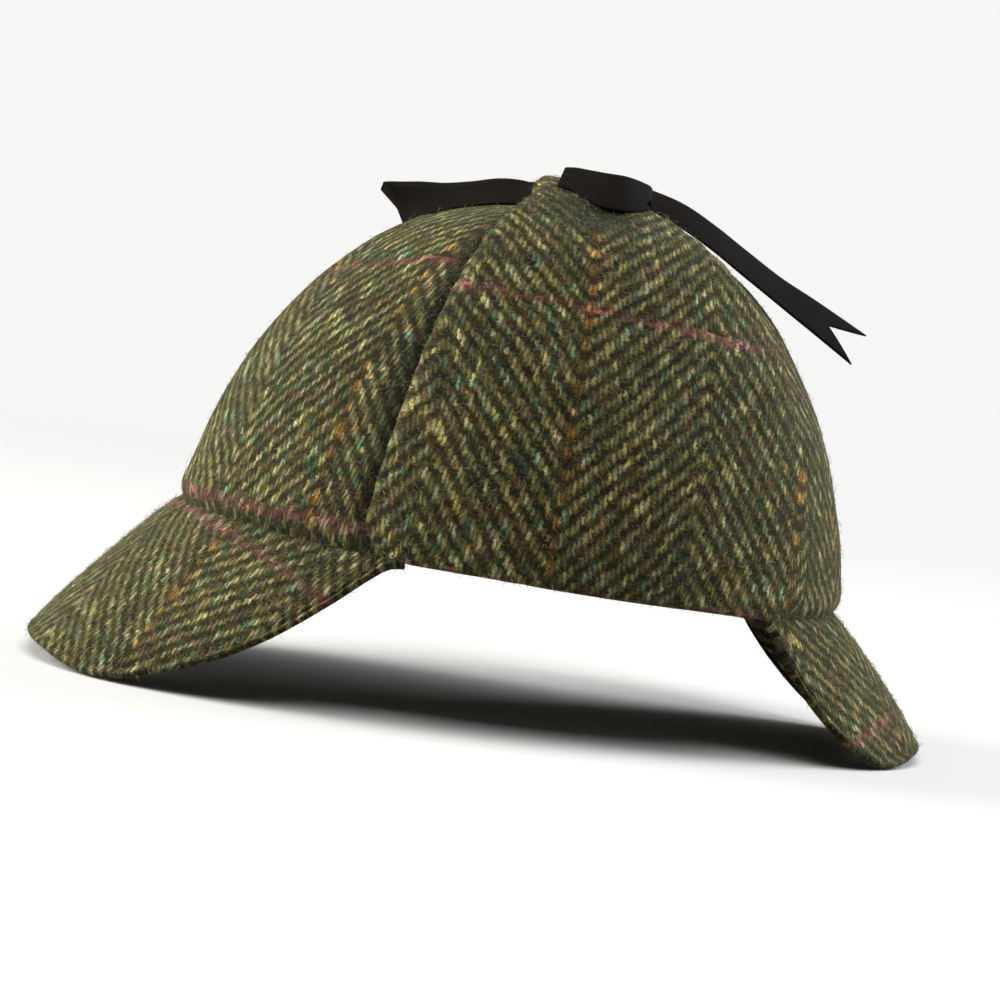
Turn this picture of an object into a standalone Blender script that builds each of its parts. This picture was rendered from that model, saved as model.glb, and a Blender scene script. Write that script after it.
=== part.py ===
"""Deerstalker hat with its ear flaps folded up and tied over the crown.

Run it with blender --background --python part.py, or from the Text Editor.
Metres, +Z up, front peak towards -Y, the wearer's left towards +X.

The pieces are first shaped in the hat's own frame, where the crown's bottom
edge lies in the plane z = 0 about the z axis. An empty then stands the hat on
the floor on the lowest edges of its two stiff peaks.
"""

import math

import bmesh
import bpy
from mathutils import Euler, Matrix, Vector

MM = 0.001

# Crown: a dome whose outline is a superellipse, sewn from four panels. Its top
# leans towards the back.
CROWN_HALF_LENGTH = 104.6 * MM
CROWN_HALF_WIDTH = 86.0 * MM
CROWN_HEIGHT = 107.4 * MM
CROWN_HEIGHT_POWER = 1.45
CROWN_REACH_POWER = 2.6
CROWN_LEAN = 3.0 * MM
CROWN_WALL = 2.0 * MM
CROWN_TOP_RADIUS = 2.5 * MM
CROWN_COLUMNS = 16
CROWN_ROWS = 13

# Sewn seams and touching faces keep a small gap.
SEAM_GAP = 0.5 * MM
TOUCH_GAP = 0.3 * MM

# Ear flaps: folded up from the rim, each a broad wedge that narrows to a tip at
# the top of the crown. Angles run round the rim from the front, 0, to the back.
FLAP_WALL = 3.0 * MM
FLAP_FRONT_ANGLE = math.radians(63.0)
FLAP_REAR_ANGLE = math.radians(144.5)
FLAP_TIP_HALF = 9.0 * MM
FLAP_TIP_OFFSET = 0.4 * MM
FLAP_HEM_DROP = 2.2 * MM
FLAP_HEM_ARCH = 1.3 * MM
FLAP_CORNER_WIDTH = 15.0 * MM
FLAP_CORNER_RISE = 12.0 * MM
FLAP_COLUMNS = 20
FLAP_ROWS = 15
# How far the flap's inner face stands off the crown, up the flap.
FLAP_STANDOFF = (
    {"up": 0.00, "gap": 0.6 * MM},
    {"up": 0.15, "gap": 1.5 * MM},
    {"up": 0.50, "gap": 2.6 * MM},
    {"up": 0.80, "gap": 3.2 * MM},
    {"up": 1.00, "gap": 4.8 * MM},
)

# Peaks: stiffened, one at each end, sewn to the crown's bottom edge.
PEAK_WALL = 3.0 * MM
PEAK_TUCK = 1.6 * MM
PEAK_COLUMNS = 30
PEAK_ROWS = 5
# Seen from above, the edge is a superellipse from one end of the root to the
# other, and it droops with how far it is forward of those ends, as a share.
FRONT_PEAK = {
    "facing": -1.0,
    "half_angle": math.radians(70.0),
    "half_width": 80.5 * MM,
    "tip": 144.4 * MM,
    "outline_power": 2.15,
    "crown_roll": 0.12,
    "droop": (
        {"forward": 0.0, "drop": 0.0 * MM},
        {"forward": 0.2, "drop": 19.6 * MM},
        {"forward": 0.4, "drop": 36.8 * MM},
        {"forward": 0.6, "drop": 47.6 * MM},
        {"forward": 0.8, "drop": 54.0 * MM},
        {"forward": 1.0, "drop": 50.2 * MM},
    ),
}
BACK_PEAK = {
    "facing": 1.0,
    "half_angle": math.radians(42.5),
    "half_width": 58.0 * MM,
    "tip": 138.6 * MM,
    "outline_power": 2.25,
    "crown_roll": 0.16,
    "droop": (
        {"forward": 0.0, "drop": 0.0 * MM},
        {"forward": 0.2, "drop": 17.8 * MM},
        {"forward": 0.4, "drop": 29.6 * MM},
        {"forward": 0.6, "drop": 37.8 * MM},
        {"forward": 0.8, "drop": 41.3 * MM},
        {"forward": 1.0, "drop": 37.6 * MM},
    ),
}

# Black ribbon tied in a bow over the flap tips.
RIBBON_WIDTH = 16.0 * MM
RIBBON_WALL = 1.0 * MM
RIBBON_NOTCH = 12.5 * MM
RIBBON_COLUMNS = 4
RIBBON_STEPS_PER_ROW = 2
# The knot is a band wrapped round the middle of the bow.
KNOT_CENTRE = (-2.0 * MM, 3.2 * MM, 118.0 * MM)
KNOT_HALF = (9.0 * MM, 6.2 * MM, 2.4 * MM)
KNOT_STEPS = 24
# Routes of the ribbon's middle line. Roll lifts the edge away from the wearer's
# left, and skew moves it back against the other edge, 0 where it isn't given.
LOOP_FRONT_ROUTE = (
    {"x": -2.6, "y": -3.5, "z": 119.2, "roll": 2},
    {"x": -3.4, "y": -6.0, "z": 118.6, "roll": 3},
    {"x": -6.2, "y": -10.0, "z": 116.9, "roll": 8},
    {"x": -7.8, "y": -13.4, "z": 114.4, "roll": 17},
    {"x": -8.2, "y": -17.4, "z": 112.1, "roll": 26},
    {"x": -8.3, "y": -22.0, "z": 110.4, "roll": 27},
    {"x": -8.3, "y": -27.0, "z": 109.0, "roll": 25},
    {"x": -8.6, "y": -33.0, "z": 107.2, "roll": 24},
    {"x": -8.9, "y": -40.0, "z": 105.0, "roll": 27, "skew": -1.0},
    {"x": -9.6, "y": -47.5, "z": 103.3, "roll": 38, "skew": -3.0},
    {"x": -10.6, "y": -53.0, "z": 102.0, "roll": 62, "skew": -5.0},
    {"x": -12.6, "y": -55.3, "z": 101.6, "roll": 72, "skew": -5.5},
    {"x": -14.6, "y": -52.0, "z": 103.0, "roll": 60, "skew": -4.5},
    {"x": -16.2, "y": -46.0, "z": 104.6, "roll": 40, "skew": -2.5},
    {"x": -16.2, "y": -39.0, "z": 106.0, "roll": 28},
    {"x": -15.6, "y": -31.0, "z": 108.2, "roll": 25},
    {"x": -14.6, "y": -23.0, "z": 110.5, "roll": 26},
    {"x": -13.4, "y": -16.4, "z": 111.8, "roll": 23},
    {"x": -12.0, "y": -13.0, "z": 112.9, "roll": 15},
    {"x": -9.6, "y": -9.6, "z": 115.1, "roll": 9},
    {"x": -5.4, "y": -6.0, "z": 116.1, "roll": 4},
    {"x": -4.0, "y": -3.5, "z": 116.6, "roll": 2},
)
LOOP_REAR_ROUTE = (
    {"x": 9.0, "y": -5.6, "z": 117.6, "roll": 21, "skew": 2.4},
    {"x": 12.0, "y": -1.0, "z": 117.7, "roll": 27},
    {"x": 17.0, "y": 4.0, "z": 116.9, "roll": 35},
    {"x": 20.4, "y": 9.0, "z": 116.2, "roll": 41},
    {"x": 19.6, "y": 14.4, "z": 116.3, "roll": 40},
    {"x": 13.6, "y": 20.4, "z": 116.2, "roll": 30},
    {"x": 8.4, "y": 22.8, "z": 116.0, "roll": 22},
    {"x": 5.4, "y": 19.4, "z": 116.9, "roll": 17},
    {"x": 4.6, "y": 14.4, "z": 117.9, "roll": 16},
    {"x": 4.6, "y": 10.2, "z": 118.4, "roll": 16},
)
TAIL_REAR_ROUTE = (
    {"x": -4.2, "y": 10.2, "z": 117.3, "roll": 12},
    {"x": -4.4, "y": 14.0, "z": 117.3, "roll": 16},
    {"x": -4.6, "y": 22.0, "z": 116.5, "roll": 22},
    {"x": -1.4, "y": 34.0, "z": 112.8, "roll": 27},
    {"x": 1.0, "y": 45.0, "z": 107.4, "roll": 28},
    {"x": 2.0, "y": 56.0, "z": 101.4, "roll": 29},
    {"x": 3.0, "y": 68.0, "z": 95.0, "roll": 30},
    {"x": 4.0, "y": 80.0, "z": 89.2, "roll": 36},
    {"x": 5.0, "y": 96.0, "z": 81.2, "roll": 43},
)
# The other tail lies on the flap of the wearer's right, read up the flap.
TAIL_FAR_SPAN = (0.38, 0.93)
TAIL_FAR_STEPS = 12
TAIL_FAR_ACROSS = 0.35
TAIL_FAR_GAP = 0.8 * MM

# Stance: the pitch that brings both peaks' lowest edges level, the shift that
# centres the hat over the origin, and the lift that sets it on the floor.
STANCE_PITCH = math.radians(-2.908)
STANCE_SHIFT = 5.14 * MM
STANCE_LIFT = 49.403 * MM

COLLECTION = "deerstalker_hat"

MATERIALS = {
    "tweed": {"colour": (0.105, 0.098, 0.050), "roughness": 0.95},
    "ribbon": {"colour": (0.009, 0.008, 0.007), "roughness": 0.75},
}


def blend(low, high, share):
    """The value a share of the way from low to high."""
    return low + (high - low) * share


def curve(first, start, end, last, share):
    """A Catmull-Rom curve from start to end, with the values before and after them."""
    bend = 2.0 * start + (end - first) * share
    bend += (2.0 * first - 5.0 * start + 4.0 * end - last) * share ** 2
    return 0.5 * (bend + (3.0 * start - first - 3.0 * end + last) * share ** 3)


def read_table(rows, key, column, value):
    """A column of a table at a value of its key, on a smooth curve through the rows."""
    span = len(rows) - 2
    row = max(index for index in range(span + 1) if index == 0 or value >= rows[index][key])
    share = (value - rows[row][key]) / (rows[row + 1][key] - rows[row][key])
    near = (rows[max(row - 1, 0)], rows[row], rows[row + 1], rows[min(row + 2, span + 1)])
    return curve(*(entry[column] for entry in near), min(share, 1.0))


def signed_power(base, power):
    return math.copysign(abs(base) ** power, base)


def dome_height(climb):
    """Height above the rim at a climb from 0, the rim, to a quarter turn, the top."""
    return CROWN_HEIGHT * signed_power(math.sin(climb), 2.0 / CROWN_HEIGHT_POWER)


def dome_share(climb):
    """How far out from the middle the dome is, as a share of its reach at the rim."""
    return math.cos(climb) ** (2.0 / CROWN_REACH_POWER)


def climb_at_share(share):
    return math.acos(share ** (CROWN_REACH_POWER / 2.0))


def rim_point(angle):
    """A point of the rim, from the front, 0, round by the wearer's left to the back."""
    return Vector((CROWN_HALF_WIDTH * math.sin(angle), -CROWN_HALF_LENGTH * math.cos(angle), 0.0))


def dome_normal(point):
    """The way out of the dome at a point of it."""
    scaled = Vector((point.x / CROWN_HALF_WIDTH, point.y / CROWN_HALF_LENGTH, 0.0))
    share = max(scaled.length, 1e-4)
    flat = CROWN_REACH_POWER * share ** (CROWN_REACH_POWER - 2.0)
    rise = max(point.z / CROWN_HEIGHT, 0.0)
    steep = CROWN_HEIGHT_POWER * rise ** (CROWN_HEIGHT_POWER - 1.0) / CROWN_HEIGHT
    normal = Vector((flat * scaled.x / CROWN_HALF_WIDTH, flat * scaled.y / CROWN_HALF_LENGTH, steep))
    return normal.normalized()


def lean(point):
    """The point moved back as the crown leans."""
    return point + Vector((0.0, CROWN_LEAN * point.z / CROWN_HEIGHT, 0.0))


def new_material(name):
    """A Principled material with the cloth's colour and roughness."""
    finish = MATERIALS[name]
    material = bpy.data.materials.new(name)
    material.use_nodes = True
    shader = material.node_tree.nodes["Principled BSDF"]
    shader.inputs["Base Color"].default_value = (*finish["colour"], 1.0)
    shader.inputs["Roughness"].default_value = finish["roughness"]
    shader.inputs["Metallic"].default_value = 0.0
    return material


def add_object(name, mesh, collection, finish, stance):
    piece = bpy.data.objects.new(name, mesh)
    collection.objects.link(piece)
    material = new_material(finish)
    material.name = f"{finish}_{name}"
    mesh.materials.append(material)
    piece.parent = stance
    return piece


def add_sheet(name, columns, rows, shape, wall, **placing):
    """A grid laid on shape(across, along), given its wall on the inner side."""
    mesh = bpy.data.meshes.new(name)
    bm = bmesh.new()
    bmesh.ops.create_grid(bm, x_segments=columns, y_segments=rows, size=0.5)
    for vertex in bm.verts:
        vertex.co = shape(vertex.co.x + 0.5, vertex.co.y + 0.5)
    bm.to_mesh(mesh)
    bm.free()
    mesh.shade_smooth()
    piece = add_object(name, mesh, **placing)
    solidify = piece.modifiers.new("wall", "SOLIDIFY")
    solidify.thickness = wall
    solidify.offset = -1.0
    return piece


def crown_panel_shape(quarter):
    """A quarter of the dome, kept half a seam gap from its neighbours."""

    def shape(across, along):
        top = climb_at_share(CROWN_TOP_RADIUS / CROWN_HALF_LENGTH)
        climb = top * along
        share = dome_share(climb)
        inset_front = math.asin(SEAM_GAP / 2.0 / (CROWN_HALF_WIDTH * share))
        inset_side = math.asin(SEAM_GAP / 2.0 / (CROWN_HALF_LENGTH * share))
        insets = (inset_front, inset_side) if quarter % 2 == 0 else (inset_side, inset_front)
        start = quarter * math.pi / 2.0
        angle = blend(start + insets[0], start + math.pi / 2.0 - insets[1], across)
        return lean(rim_point(angle) * share + Vector((0.0, 0.0, dome_height(climb))))

    return shape


def flap_point(across, along, side, lift):
    """A point of the flap on side +1, the wearer's left, or -1, lifted off the dome."""
    angle = blend(FLAP_FRONT_ANGLE, FLAP_REAR_ANGLE, across)
    foot = rim_point(angle) / CROWN_HALF_LENGTH
    foot.x *= CROWN_HALF_LENGTH / CROWN_HALF_WIDTH
    tip_y = blend(-FLAP_TIP_HALF, FLAP_TIP_HALF, across)
    tip = Vector((FLAP_TIP_OFFSET / CROWN_HALF_WIDTH, tip_y / CROWN_HALF_LENGTH, 0.0))
    arc = (FLAP_REAR_ANGLE - FLAP_FRONT_ANGLE) * (CROWN_HALF_WIDTH + CROWN_HALF_LENGTH) / 2.0
    into_corner = max(0.0, 1.0 - min(across, 1.0 - across) * arc / FLAP_CORNER_WIDTH)
    corner = FLAP_CORNER_RISE * (1.0 - math.sqrt(1.0 - into_corner ** 2))
    hem = corner - FLAP_HEM_DROP + FLAP_HEM_ARCH * math.sin(math.pi * across)
    low = math.asin(signed_power(hem / CROWN_HEIGHT, CROWN_HEIGHT_POWER / 2.0))
    high = climb_at_share(max(tip.length, 0.01))
    climb = blend(low, high, along)
    share = dome_share(climb)
    # The ray from the foot to the tip is followed in plan to where the dome has this share.
    ray = tip - foot
    half_b = foot.dot(ray)
    root = half_b * half_b - ray.dot(ray) * (foot.dot(foot) - share * share)
    step = (-half_b - math.sqrt(max(root, 0.0))) / ray.dot(ray)
    flat = foot + ray * step
    point = Vector((flat.x * CROWN_HALF_WIDTH, flat.y * CROWN_HALF_LENGTH, dome_height(climb)))
    point = lean(point + dome_normal(point) * lift)
    point.x = max(point.x, FLAP_TIP_OFFSET)
    point.x *= side
    return point


def flap_shape(side):
    def shape(across, along):
        across = across if side > 0 else 1.0 - across
        gap = read_table(FLAP_STANDOFF, "up", "gap", along)
        return flap_point(across, along, side, gap + FLAP_WALL)

    return shape


def peak_shape(peak):
    """A stiff peak: rays from the rim to an edge that droops."""

    def shape(across, along):
        turn = blend(peak["half_angle"], -peak["half_angle"], across)
        root = rim_point(turn) * (1.0 - PEAK_TUCK / CROWN_HALF_LENGTH)
        end = rim_point(peak["half_angle"]).y
        sweep = math.pi / 2.0 * turn / peak["half_angle"]
        forward = math.cos(sweep) ** (2.0 / peak["outline_power"])
        edge_x = peak["half_width"] * signed_power(math.sin(sweep), 2.0 / peak["outline_power"])
        edge_y = blend(end, -peak["tip"], forward)
        drop = read_table(peak["droop"], "forward", "drop", forward)
        drop *= along * (1.0 - peak["crown_roll"] * (1.0 - along))
        point = Vector((blend(root.x, edge_x, along), blend(root.y, edge_y, along), -TOUCH_GAP - drop))
        if peak["facing"] > 0:
            point.x, point.y = -point.x, -point.y
        return point

    return shape


def smooth_route(route):
    """Points of a smooth curve through a table's rows, with the roll and skew at each."""
    keys = ("x", "y", "z", "roll", "skew")
    table = [[row.get(key, 0.0) for key in keys] for row in route]
    table = [table[0], *table, table[-1]]
    points = []
    for near in zip(table, table[1:], table[2:], table[3:]):
        for step in range(RIBBON_STEPS_PER_ROW):
            points.append([curve(*column, step / RIBBON_STEPS_PER_ROW) for column in zip(*near)])
    points.append(table[-1])
    return [(Vector(p[:3]) * MM, math.radians(p[3]), p[4] * MM) for p in points]


def ribbon_shape(line, flat_side, notched):
    """A flat ribbon along a line as smooth_route gives, with a swallow-tail end if notched."""
    last = len(line) - 1
    across_line = []
    for index, (point, roll, skew) in enumerate(line):
        ahead = line[min(index + 1, last)][0] - line[max(index - 1, 0)][0]
        ahead -= flat_side * ahead.dot(flat_side)
        across_line.append((point, ahead.normalized(), roll, skew))

    def shape(across, along):
        point, ahead, roll, skew = across_line[round(along * last)]
        wide = flat_side * math.cos(roll) + Vector((0.0, 0.0, math.sin(roll)))
        wide = (wide - ahead * wide.dot(ahead)).normalized()
        notch = RIBBON_NOTCH * (1.0 - abs(2.0 * across - 1.0)) if notched and along == 1.0 else 0.0
        middle = point - ahead * notch
        return middle + (wide * RIBBON_WIDTH + Vector((0.0, skew, 0.0))) * (across - 0.5)

    return shape, last


def tail_far_line():
    """The middle line of the tail that lies on the right flap, from the knot down."""
    low, high = TAIL_FAR_SPAN
    line = []
    for step in range(TAIL_FAR_STEPS + 1):
        along = blend(high, low, step / TAIL_FAR_STEPS)
        gap = read_table(FLAP_STANDOFF, "up", "gap", along)
        lift = gap + FLAP_WALL + TAIL_FAR_GAP + RIBBON_WALL
        line.append((flap_point(TAIL_FAR_ACROSS, along, -1.0, lift), 0.0, 0.0))
    return line


def add_knot(name, collection, finish, stance):
    """The band round the middle of the bow: a flattened tube, open at both ends."""
    mesh = bpy.data.meshes.new(name)
    bm = bmesh.new()
    turn = Matrix.Rotation(math.pi / 2.0, 4, "X")
    size = Matrix.Diagonal((KNOT_HALF[0], KNOT_HALF[1], KNOT_HALF[2], 1.0))
    place = Matrix.Translation(KNOT_CENTRE) @ size @ turn
    bmesh.ops.create_cone(
        bm, segments=KNOT_STEPS, radius1=1.0, radius2=1.0, depth=2.0, cap_ends=False, matrix=place
    )
    bm.to_mesh(mesh)
    bm.free()
    mesh.shade_smooth()
    piece = add_object(name, mesh, collection, finish, stance)
    solidify = piece.modifiers.new("wall", "SOLIDIFY")
    solidify.thickness = RIBBON_WALL
    solidify.offset = -1.0
    return piece


def build():
    for old in list(bpy.data.objects):
        bpy.data.objects.remove(old)
    collection = bpy.data.collections.new(COLLECTION)
    bpy.context.scene.collection.children.link(collection)
    stance = bpy.data.objects.new("stance", None)
    collection.objects.link(stance)
    stance.rotation_euler = Euler((STANCE_PITCH, 0.0, 0.0))
    stance.location = (0.0, STANCE_SHIFT, STANCE_LIFT)
    tweed = {"collection": collection, "finish": "tweed", "stance": stance}
    ribbon = {"collection": collection, "finish": "ribbon", "stance": stance}

    quarters = ("front_left", "back_left", "back_right", "front_right")
    for quarter, name in enumerate(quarters):
        shape = crown_panel_shape(quarter)
        add_sheet(f"crown_panel_{name}", CROWN_COLUMNS, CROWN_ROWS, shape, CROWN_WALL, **tweed)
    for side, name in ((1, "left"), (-1, "right")):
        add_sheet(f"ear_flap_{name}", FLAP_COLUMNS, FLAP_ROWS, flap_shape(side), FLAP_WALL, **tweed)
    for name, peak in (("front_peak", FRONT_PEAK), ("back_peak", BACK_PEAK)):
        add_sheet(name, PEAK_COLUMNS, PEAK_ROWS, peak_shape(peak), PEAK_WALL, **tweed)
    away = Vector((-1.0, 0.0, 0.0))
    lines = {
        "ribbon_loop_front": (smooth_route(LOOP_FRONT_ROUTE), away, False),
        "ribbon_loop_rear": (smooth_route(LOOP_REAR_ROUTE), away, False),
        "ribbon_tail_rear": (smooth_route(TAIL_REAR_ROUTE), away, True),
        "ribbon_tail_far": (tail_far_line(), Vector((0.0, 1.0, 0.0)), True),
    }
    for name, (line, flat_side, notched) in lines.items():
        shape, rows = ribbon_shape(line, flat_side, notched)
        add_sheet(name, RIBBON_COLUMNS, rows, shape, RIBBON_WALL, **ribbon)
    add_knot("ribbon_knot", **ribbon)


build()
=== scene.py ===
"""Deerstalker hat in herringbone wool tweed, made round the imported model.

The file is laid out as an add-on: sizes and colours stand in property groups,
and each group of pieces has an operator. Run as a script, it calls them in order.
Metres, +Z up, front peak towards -Y, the wearer's left towards +X. The shapes
are worked out in the hat's own frame, where the crown's bottom edge lies in the
plane z = 0, and the stance then stands them on the floor as the model does.
"""

import math
from functools import partial
from typing import NamedTuple

import bpy
import numpy as np
from bpy.props import FloatProperty, FloatVectorProperty, IntProperty, PointerProperty
from bpy.types import Operator, Panel, PropertyGroup
from mathutils import Euler, Matrix, Vector, noise
from mathutils.kdtree import KDTree


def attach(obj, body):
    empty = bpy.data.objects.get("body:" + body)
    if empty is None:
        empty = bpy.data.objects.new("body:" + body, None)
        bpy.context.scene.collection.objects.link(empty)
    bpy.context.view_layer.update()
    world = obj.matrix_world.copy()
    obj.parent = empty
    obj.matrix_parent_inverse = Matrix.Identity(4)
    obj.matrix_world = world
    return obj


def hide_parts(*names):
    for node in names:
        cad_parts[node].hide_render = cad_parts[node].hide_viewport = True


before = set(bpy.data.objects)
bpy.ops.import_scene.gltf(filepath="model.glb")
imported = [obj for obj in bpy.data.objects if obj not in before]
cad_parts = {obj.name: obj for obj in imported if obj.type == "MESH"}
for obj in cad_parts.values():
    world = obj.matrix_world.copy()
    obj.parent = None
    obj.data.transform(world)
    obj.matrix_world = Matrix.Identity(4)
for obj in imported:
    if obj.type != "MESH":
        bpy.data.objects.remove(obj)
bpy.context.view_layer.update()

bl_info = {
    "name": "Deerstalker Hat",
    "version": (1, 0, 0),
    "blender": (4, 5, 0),
    "location": "3D View > Sidebar > Hat",
    "description": "Makes a tweed deerstalker hat round its packed model",
    "category": "Object",
}

MM = 0.001
CLOTH_MAP = "cloth_mm"
# The point attribute that carries painted shade in folds, seams, flap edges and under the bow.
PAINTED_SHADE_ATTRIBUTE = "crease"

# The crown is a dome whose outline is a superellipse and whose top leans back.
CROWN_HALF_LENGTH = 104.6 * MM
CROWN_HALF_WIDTH = 86.0 * MM
CROWN_HEIGHT = 107.4 * MM
CROWN_HEIGHT_POWER = 1.45
CROWN_REACH_POWER = 2.6
CROWN_LEAN = 3.0 * MM
CROWN_WALL = 2.0 * MM
CROWN_TOP_RADIUS = 0.5 * MM
CROWN_COLUMNS = 104
CROWN_ROWS = 100
CROWN_CROWDING = (0.72, 0.45)
CROWN_PLACES = ("front_left", "back_left", "back_right", "front_right")

# Ear flaps, folded up. Angles run round the rim from the front, 0, to the back.
FLAP_WALL = 3.0 * MM
FLAP_FRONT_ANGLE = math.radians(63.0)
FLAP_REAR_ANGLE = math.radians(144.5)
FLAP_TIP_HALF = 9.0 * MM
FLAP_TIP_OFFSET = 0.4 * MM
FLAP_HEM_DROP = 2.2 * MM
FLAP_HEM_ARCH = 1.3 * MM
FLAP_CORNER_WIDTH = 15.0 * MM
FLAP_CORNER_RISE = 12.0 * MM
FLAP_COLUMNS = 104
FLAP_ROWS = 110
FLAP_CROWDING = (0.78, 0.7)
FLAP_STANDOFF = (
    {"up": 0.00, "gap": 0.6 * MM},
    {"up": 0.15, "gap": 1.5 * MM},
    {"up": 0.50, "gap": 2.6 * MM},
    {"up": 0.80, "gap": 3.2 * MM},
    {"up": 1.00, "gap": 4.8 * MM},
)

# Stiffened peaks, sewn to the crown's bottom edge.
PEAK_WALL = 3.0 * MM
PEAK_TUCK = 1.6 * MM
PEAK_GAP = 0.3 * MM
PEAK_COLUMNS = 150
PEAK_ROWS = 42
PEAK_CROWDING = (0.2, 0.6)
FRONT_PEAK = {
    "facing": -1.0,
    "cut": (0.205, 0.109),
    "cut_area": 0.0124,
    "half_angle": math.radians(70.0),
    "half_width": 80.5 * MM,
    "tip": 144.4 * MM,
    "outline_power": 2.15,
    "crown_roll": 0.16,
    "droop": (
        {"forward": 0.0, "drop": 0.0 * MM},
        {"forward": 0.2, "drop": 19.6 * MM},
        {"forward": 0.4, "drop": 36.8 * MM},
        {"forward": 0.6, "drop": 47.6 * MM},
        {"forward": 0.8, "drop": 54.0 * MM},
        {"forward": 1.0, "drop": 50.2 * MM},
    ),
}
BACK_PEAK = {
    "facing": 1.0,
    "cut": (0.127, 0.071),
    "cut_area": 0.0064,
    "half_angle": math.radians(42.5),
    "half_width": 58.0 * MM,
    "tip": 138.6 * MM,
    "outline_power": 2.25,
    "crown_roll": 0.16,
    "droop": (
        {"forward": 0.0, "drop": 0.0 * MM},
        {"forward": 0.2, "drop": 17.8 * MM},
        {"forward": 0.4, "drop": 29.6 * MM},
        {"forward": 0.6, "drop": 37.8 * MM},
        {"forward": 0.8, "drop": 41.3 * MM},
        {"forward": 1.0, "drop": 37.6 * MM},
    ),
}

# Sewing. A seam pulls the cloth in and puffs it up beside the stitches, and a turned
# edge is thick and round.
SEAM_DEPTH = 1.5 * MM
SEAM_REACH = 1.7 * MM
SEAM_SHARPNESS = 1.5
SEAM_PUFF = 0.35 * MM
SEAM_PUFF_AT = 4.5 * MM
SEAM_PUFF_REACH = 2.2 * MM
HEM_TUCK = 1.5 * MM
HEM_REACH = 2.0 * MM
HEM_PUFF_REACH = 2.4 * MM
HEM_LOWERED = 1.6 * MM
HEM_LOWERED_OVER = 5.0 * MM
EDGE_RADIUS = 1.7 * MM
EDGE_THINNEST = 0.22
STITCHES_FROM_EDGE = 3.2 * MM
STITCHES_THINNED = 0.34
STITCHES_REACH = 0.8 * MM
PEAK_SEAM_DEPTH = 0.9 * MM
PEAK_SEAM_REACH = 2.4 * MM
FLAP_CURL_REACH = 3.2 * MM
FLAP_CREASE = 2.6 * MM
FLAP_CREASE_REACH = 2.3 * MM
PUCKER_HEIGHT = 0.28 * MM
PUCKER_PITCH = 11.0 * MM
PUCKER_REACH = 13.0 * MM
# Near the top of the crown and of the flaps, and at a peak's root, the relief fades.
CROWN_FADE = 12.0 * MM
FLAP_FADE = 14.0 * MM
PEAK_FADE = 8.0 * MM
# Gentle hollows of the cloth: how far apart they lie, how deep, and the noise's seed.
NOISE_TO_ONE = 1.6
CROWN_WAVES = (
    {"apart": 34.0 * MM, "height": 0.5 * MM, "seed": 3.0},
    {"apart": 9.0 * MM, "height": 0.12 * MM, "seed": 8.0},
)
PUCKER_WAVES = ({"apart": 40.0 * MM, "height": 2.0, "seed": 5.0},)
FLAP_WAVES = (
    {"apart": 30.0 * MM, "height": 0.45 * MM, "seed": 12.0},
    {"apart": 8.0 * MM, "height": 0.12 * MM, "seed": 15.0},
)
PEAK_WAVES = (
    {"apart": 26.0 * MM, "height": 0.35 * MM, "seed": 21.0},
    {"apart": 8.0 * MM, "height": 0.1 * MM, "seed": 25.0},
)
# How much painted shade lies at the bottom of a fold or seam, and how far it spreads from there.
PAINTED_SHADES = {
    "beside_flap": {"depth": 2.0, "reach": 6.0 * MM},
    "crown_seam": {"depth": 0.55, "reach": 1.6 * MM},
    "crown_hem": {"depth": 0.5, "reach": 2.2 * MM},
    "flap_edge": {"depth": 0.75, "reach": 1.5 * MM},
    "peak_root": {"depth": 1.0, "reach": 2.2 * MM},
    "stitches": {"depth": 0.3, "reach": 0.9 * MM},
}


class Mound(NamedTuple):
    """A place, in mm, where the ribbon leaves a flap's upper end proud or presses it
    down, how high it is and how far it goes. Spread draws it towards the front, and
    shade lays the bow's painted shadow over it."""

    side: int
    x: float
    y: float
    z: float
    height: float
    reach: float
    spread: float = 0.0
    painted_shade: float = 0.0


FLAP_MOUNDS = (
    Mound(1, 3.5, -8.5, 113.5, height=3.2, reach=9.0, spread=4.2),
    # These two press the flap down under the rear loop and lay the bow's painted shadow there.
    Mound(1, 28.0, 5.5, 110.0, height=-0.5, reach=14.0, painted_shade=2.1),
    Mound(1, 30.0, 9.0, 108.5, height=-1.5, reach=8.0, painted_shade=0.7),
    Mound(-1, -7.0, -8.0, 113.0, height=-3.0, reach=9.0),
)


class Turn(NamedTuple):
    """A place on a ribbon's middle line, in mm and degrees. Roll lifts the edge away
    from the wearer's left, and skew moves it back against the other edge."""

    x: float
    y: float
    z: float
    roll: float
    skew: float = 0.0


# Bow of black ribbon.
RIBBON_WIDTH = 16.0 * MM
RIBBON_NOTCH = 12.5 * MM
RIBBON_THICK = 0.6 * MM
RIBBON_COLUMNS = 16
RIBBON_STEP = 0.9 * MM
ROUTE_STEPS = 14
RIBBON_LEAST_ROWS = 12
RIBBON_CUP = 0.35 * MM
RIBBON_CREASED_OVER = 9.0 * MM
RIBBON_CREASES = 2.5
RIBBON_BUMP = 0.12 * MM
KNOT_CENTRE = (-2.0 * MM, 3.4 * MM, 116.9 * MM)
KNOT_HALF = (9.0 * MM, 6.2 * MM, 2.0 * MM)
KNOT_COLUMNS = 20
KNOT_ROWS = 96
KNOT_SQUARENESS = 0.8
KNOT_WAIST = 0.05
KNOT_CREASES = 3.0
KNOT_CREASE_DEPTH = 0.16 * MM
KNOT_INSET = 0.15 * MM
WELD = 0.01 * MM
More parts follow.
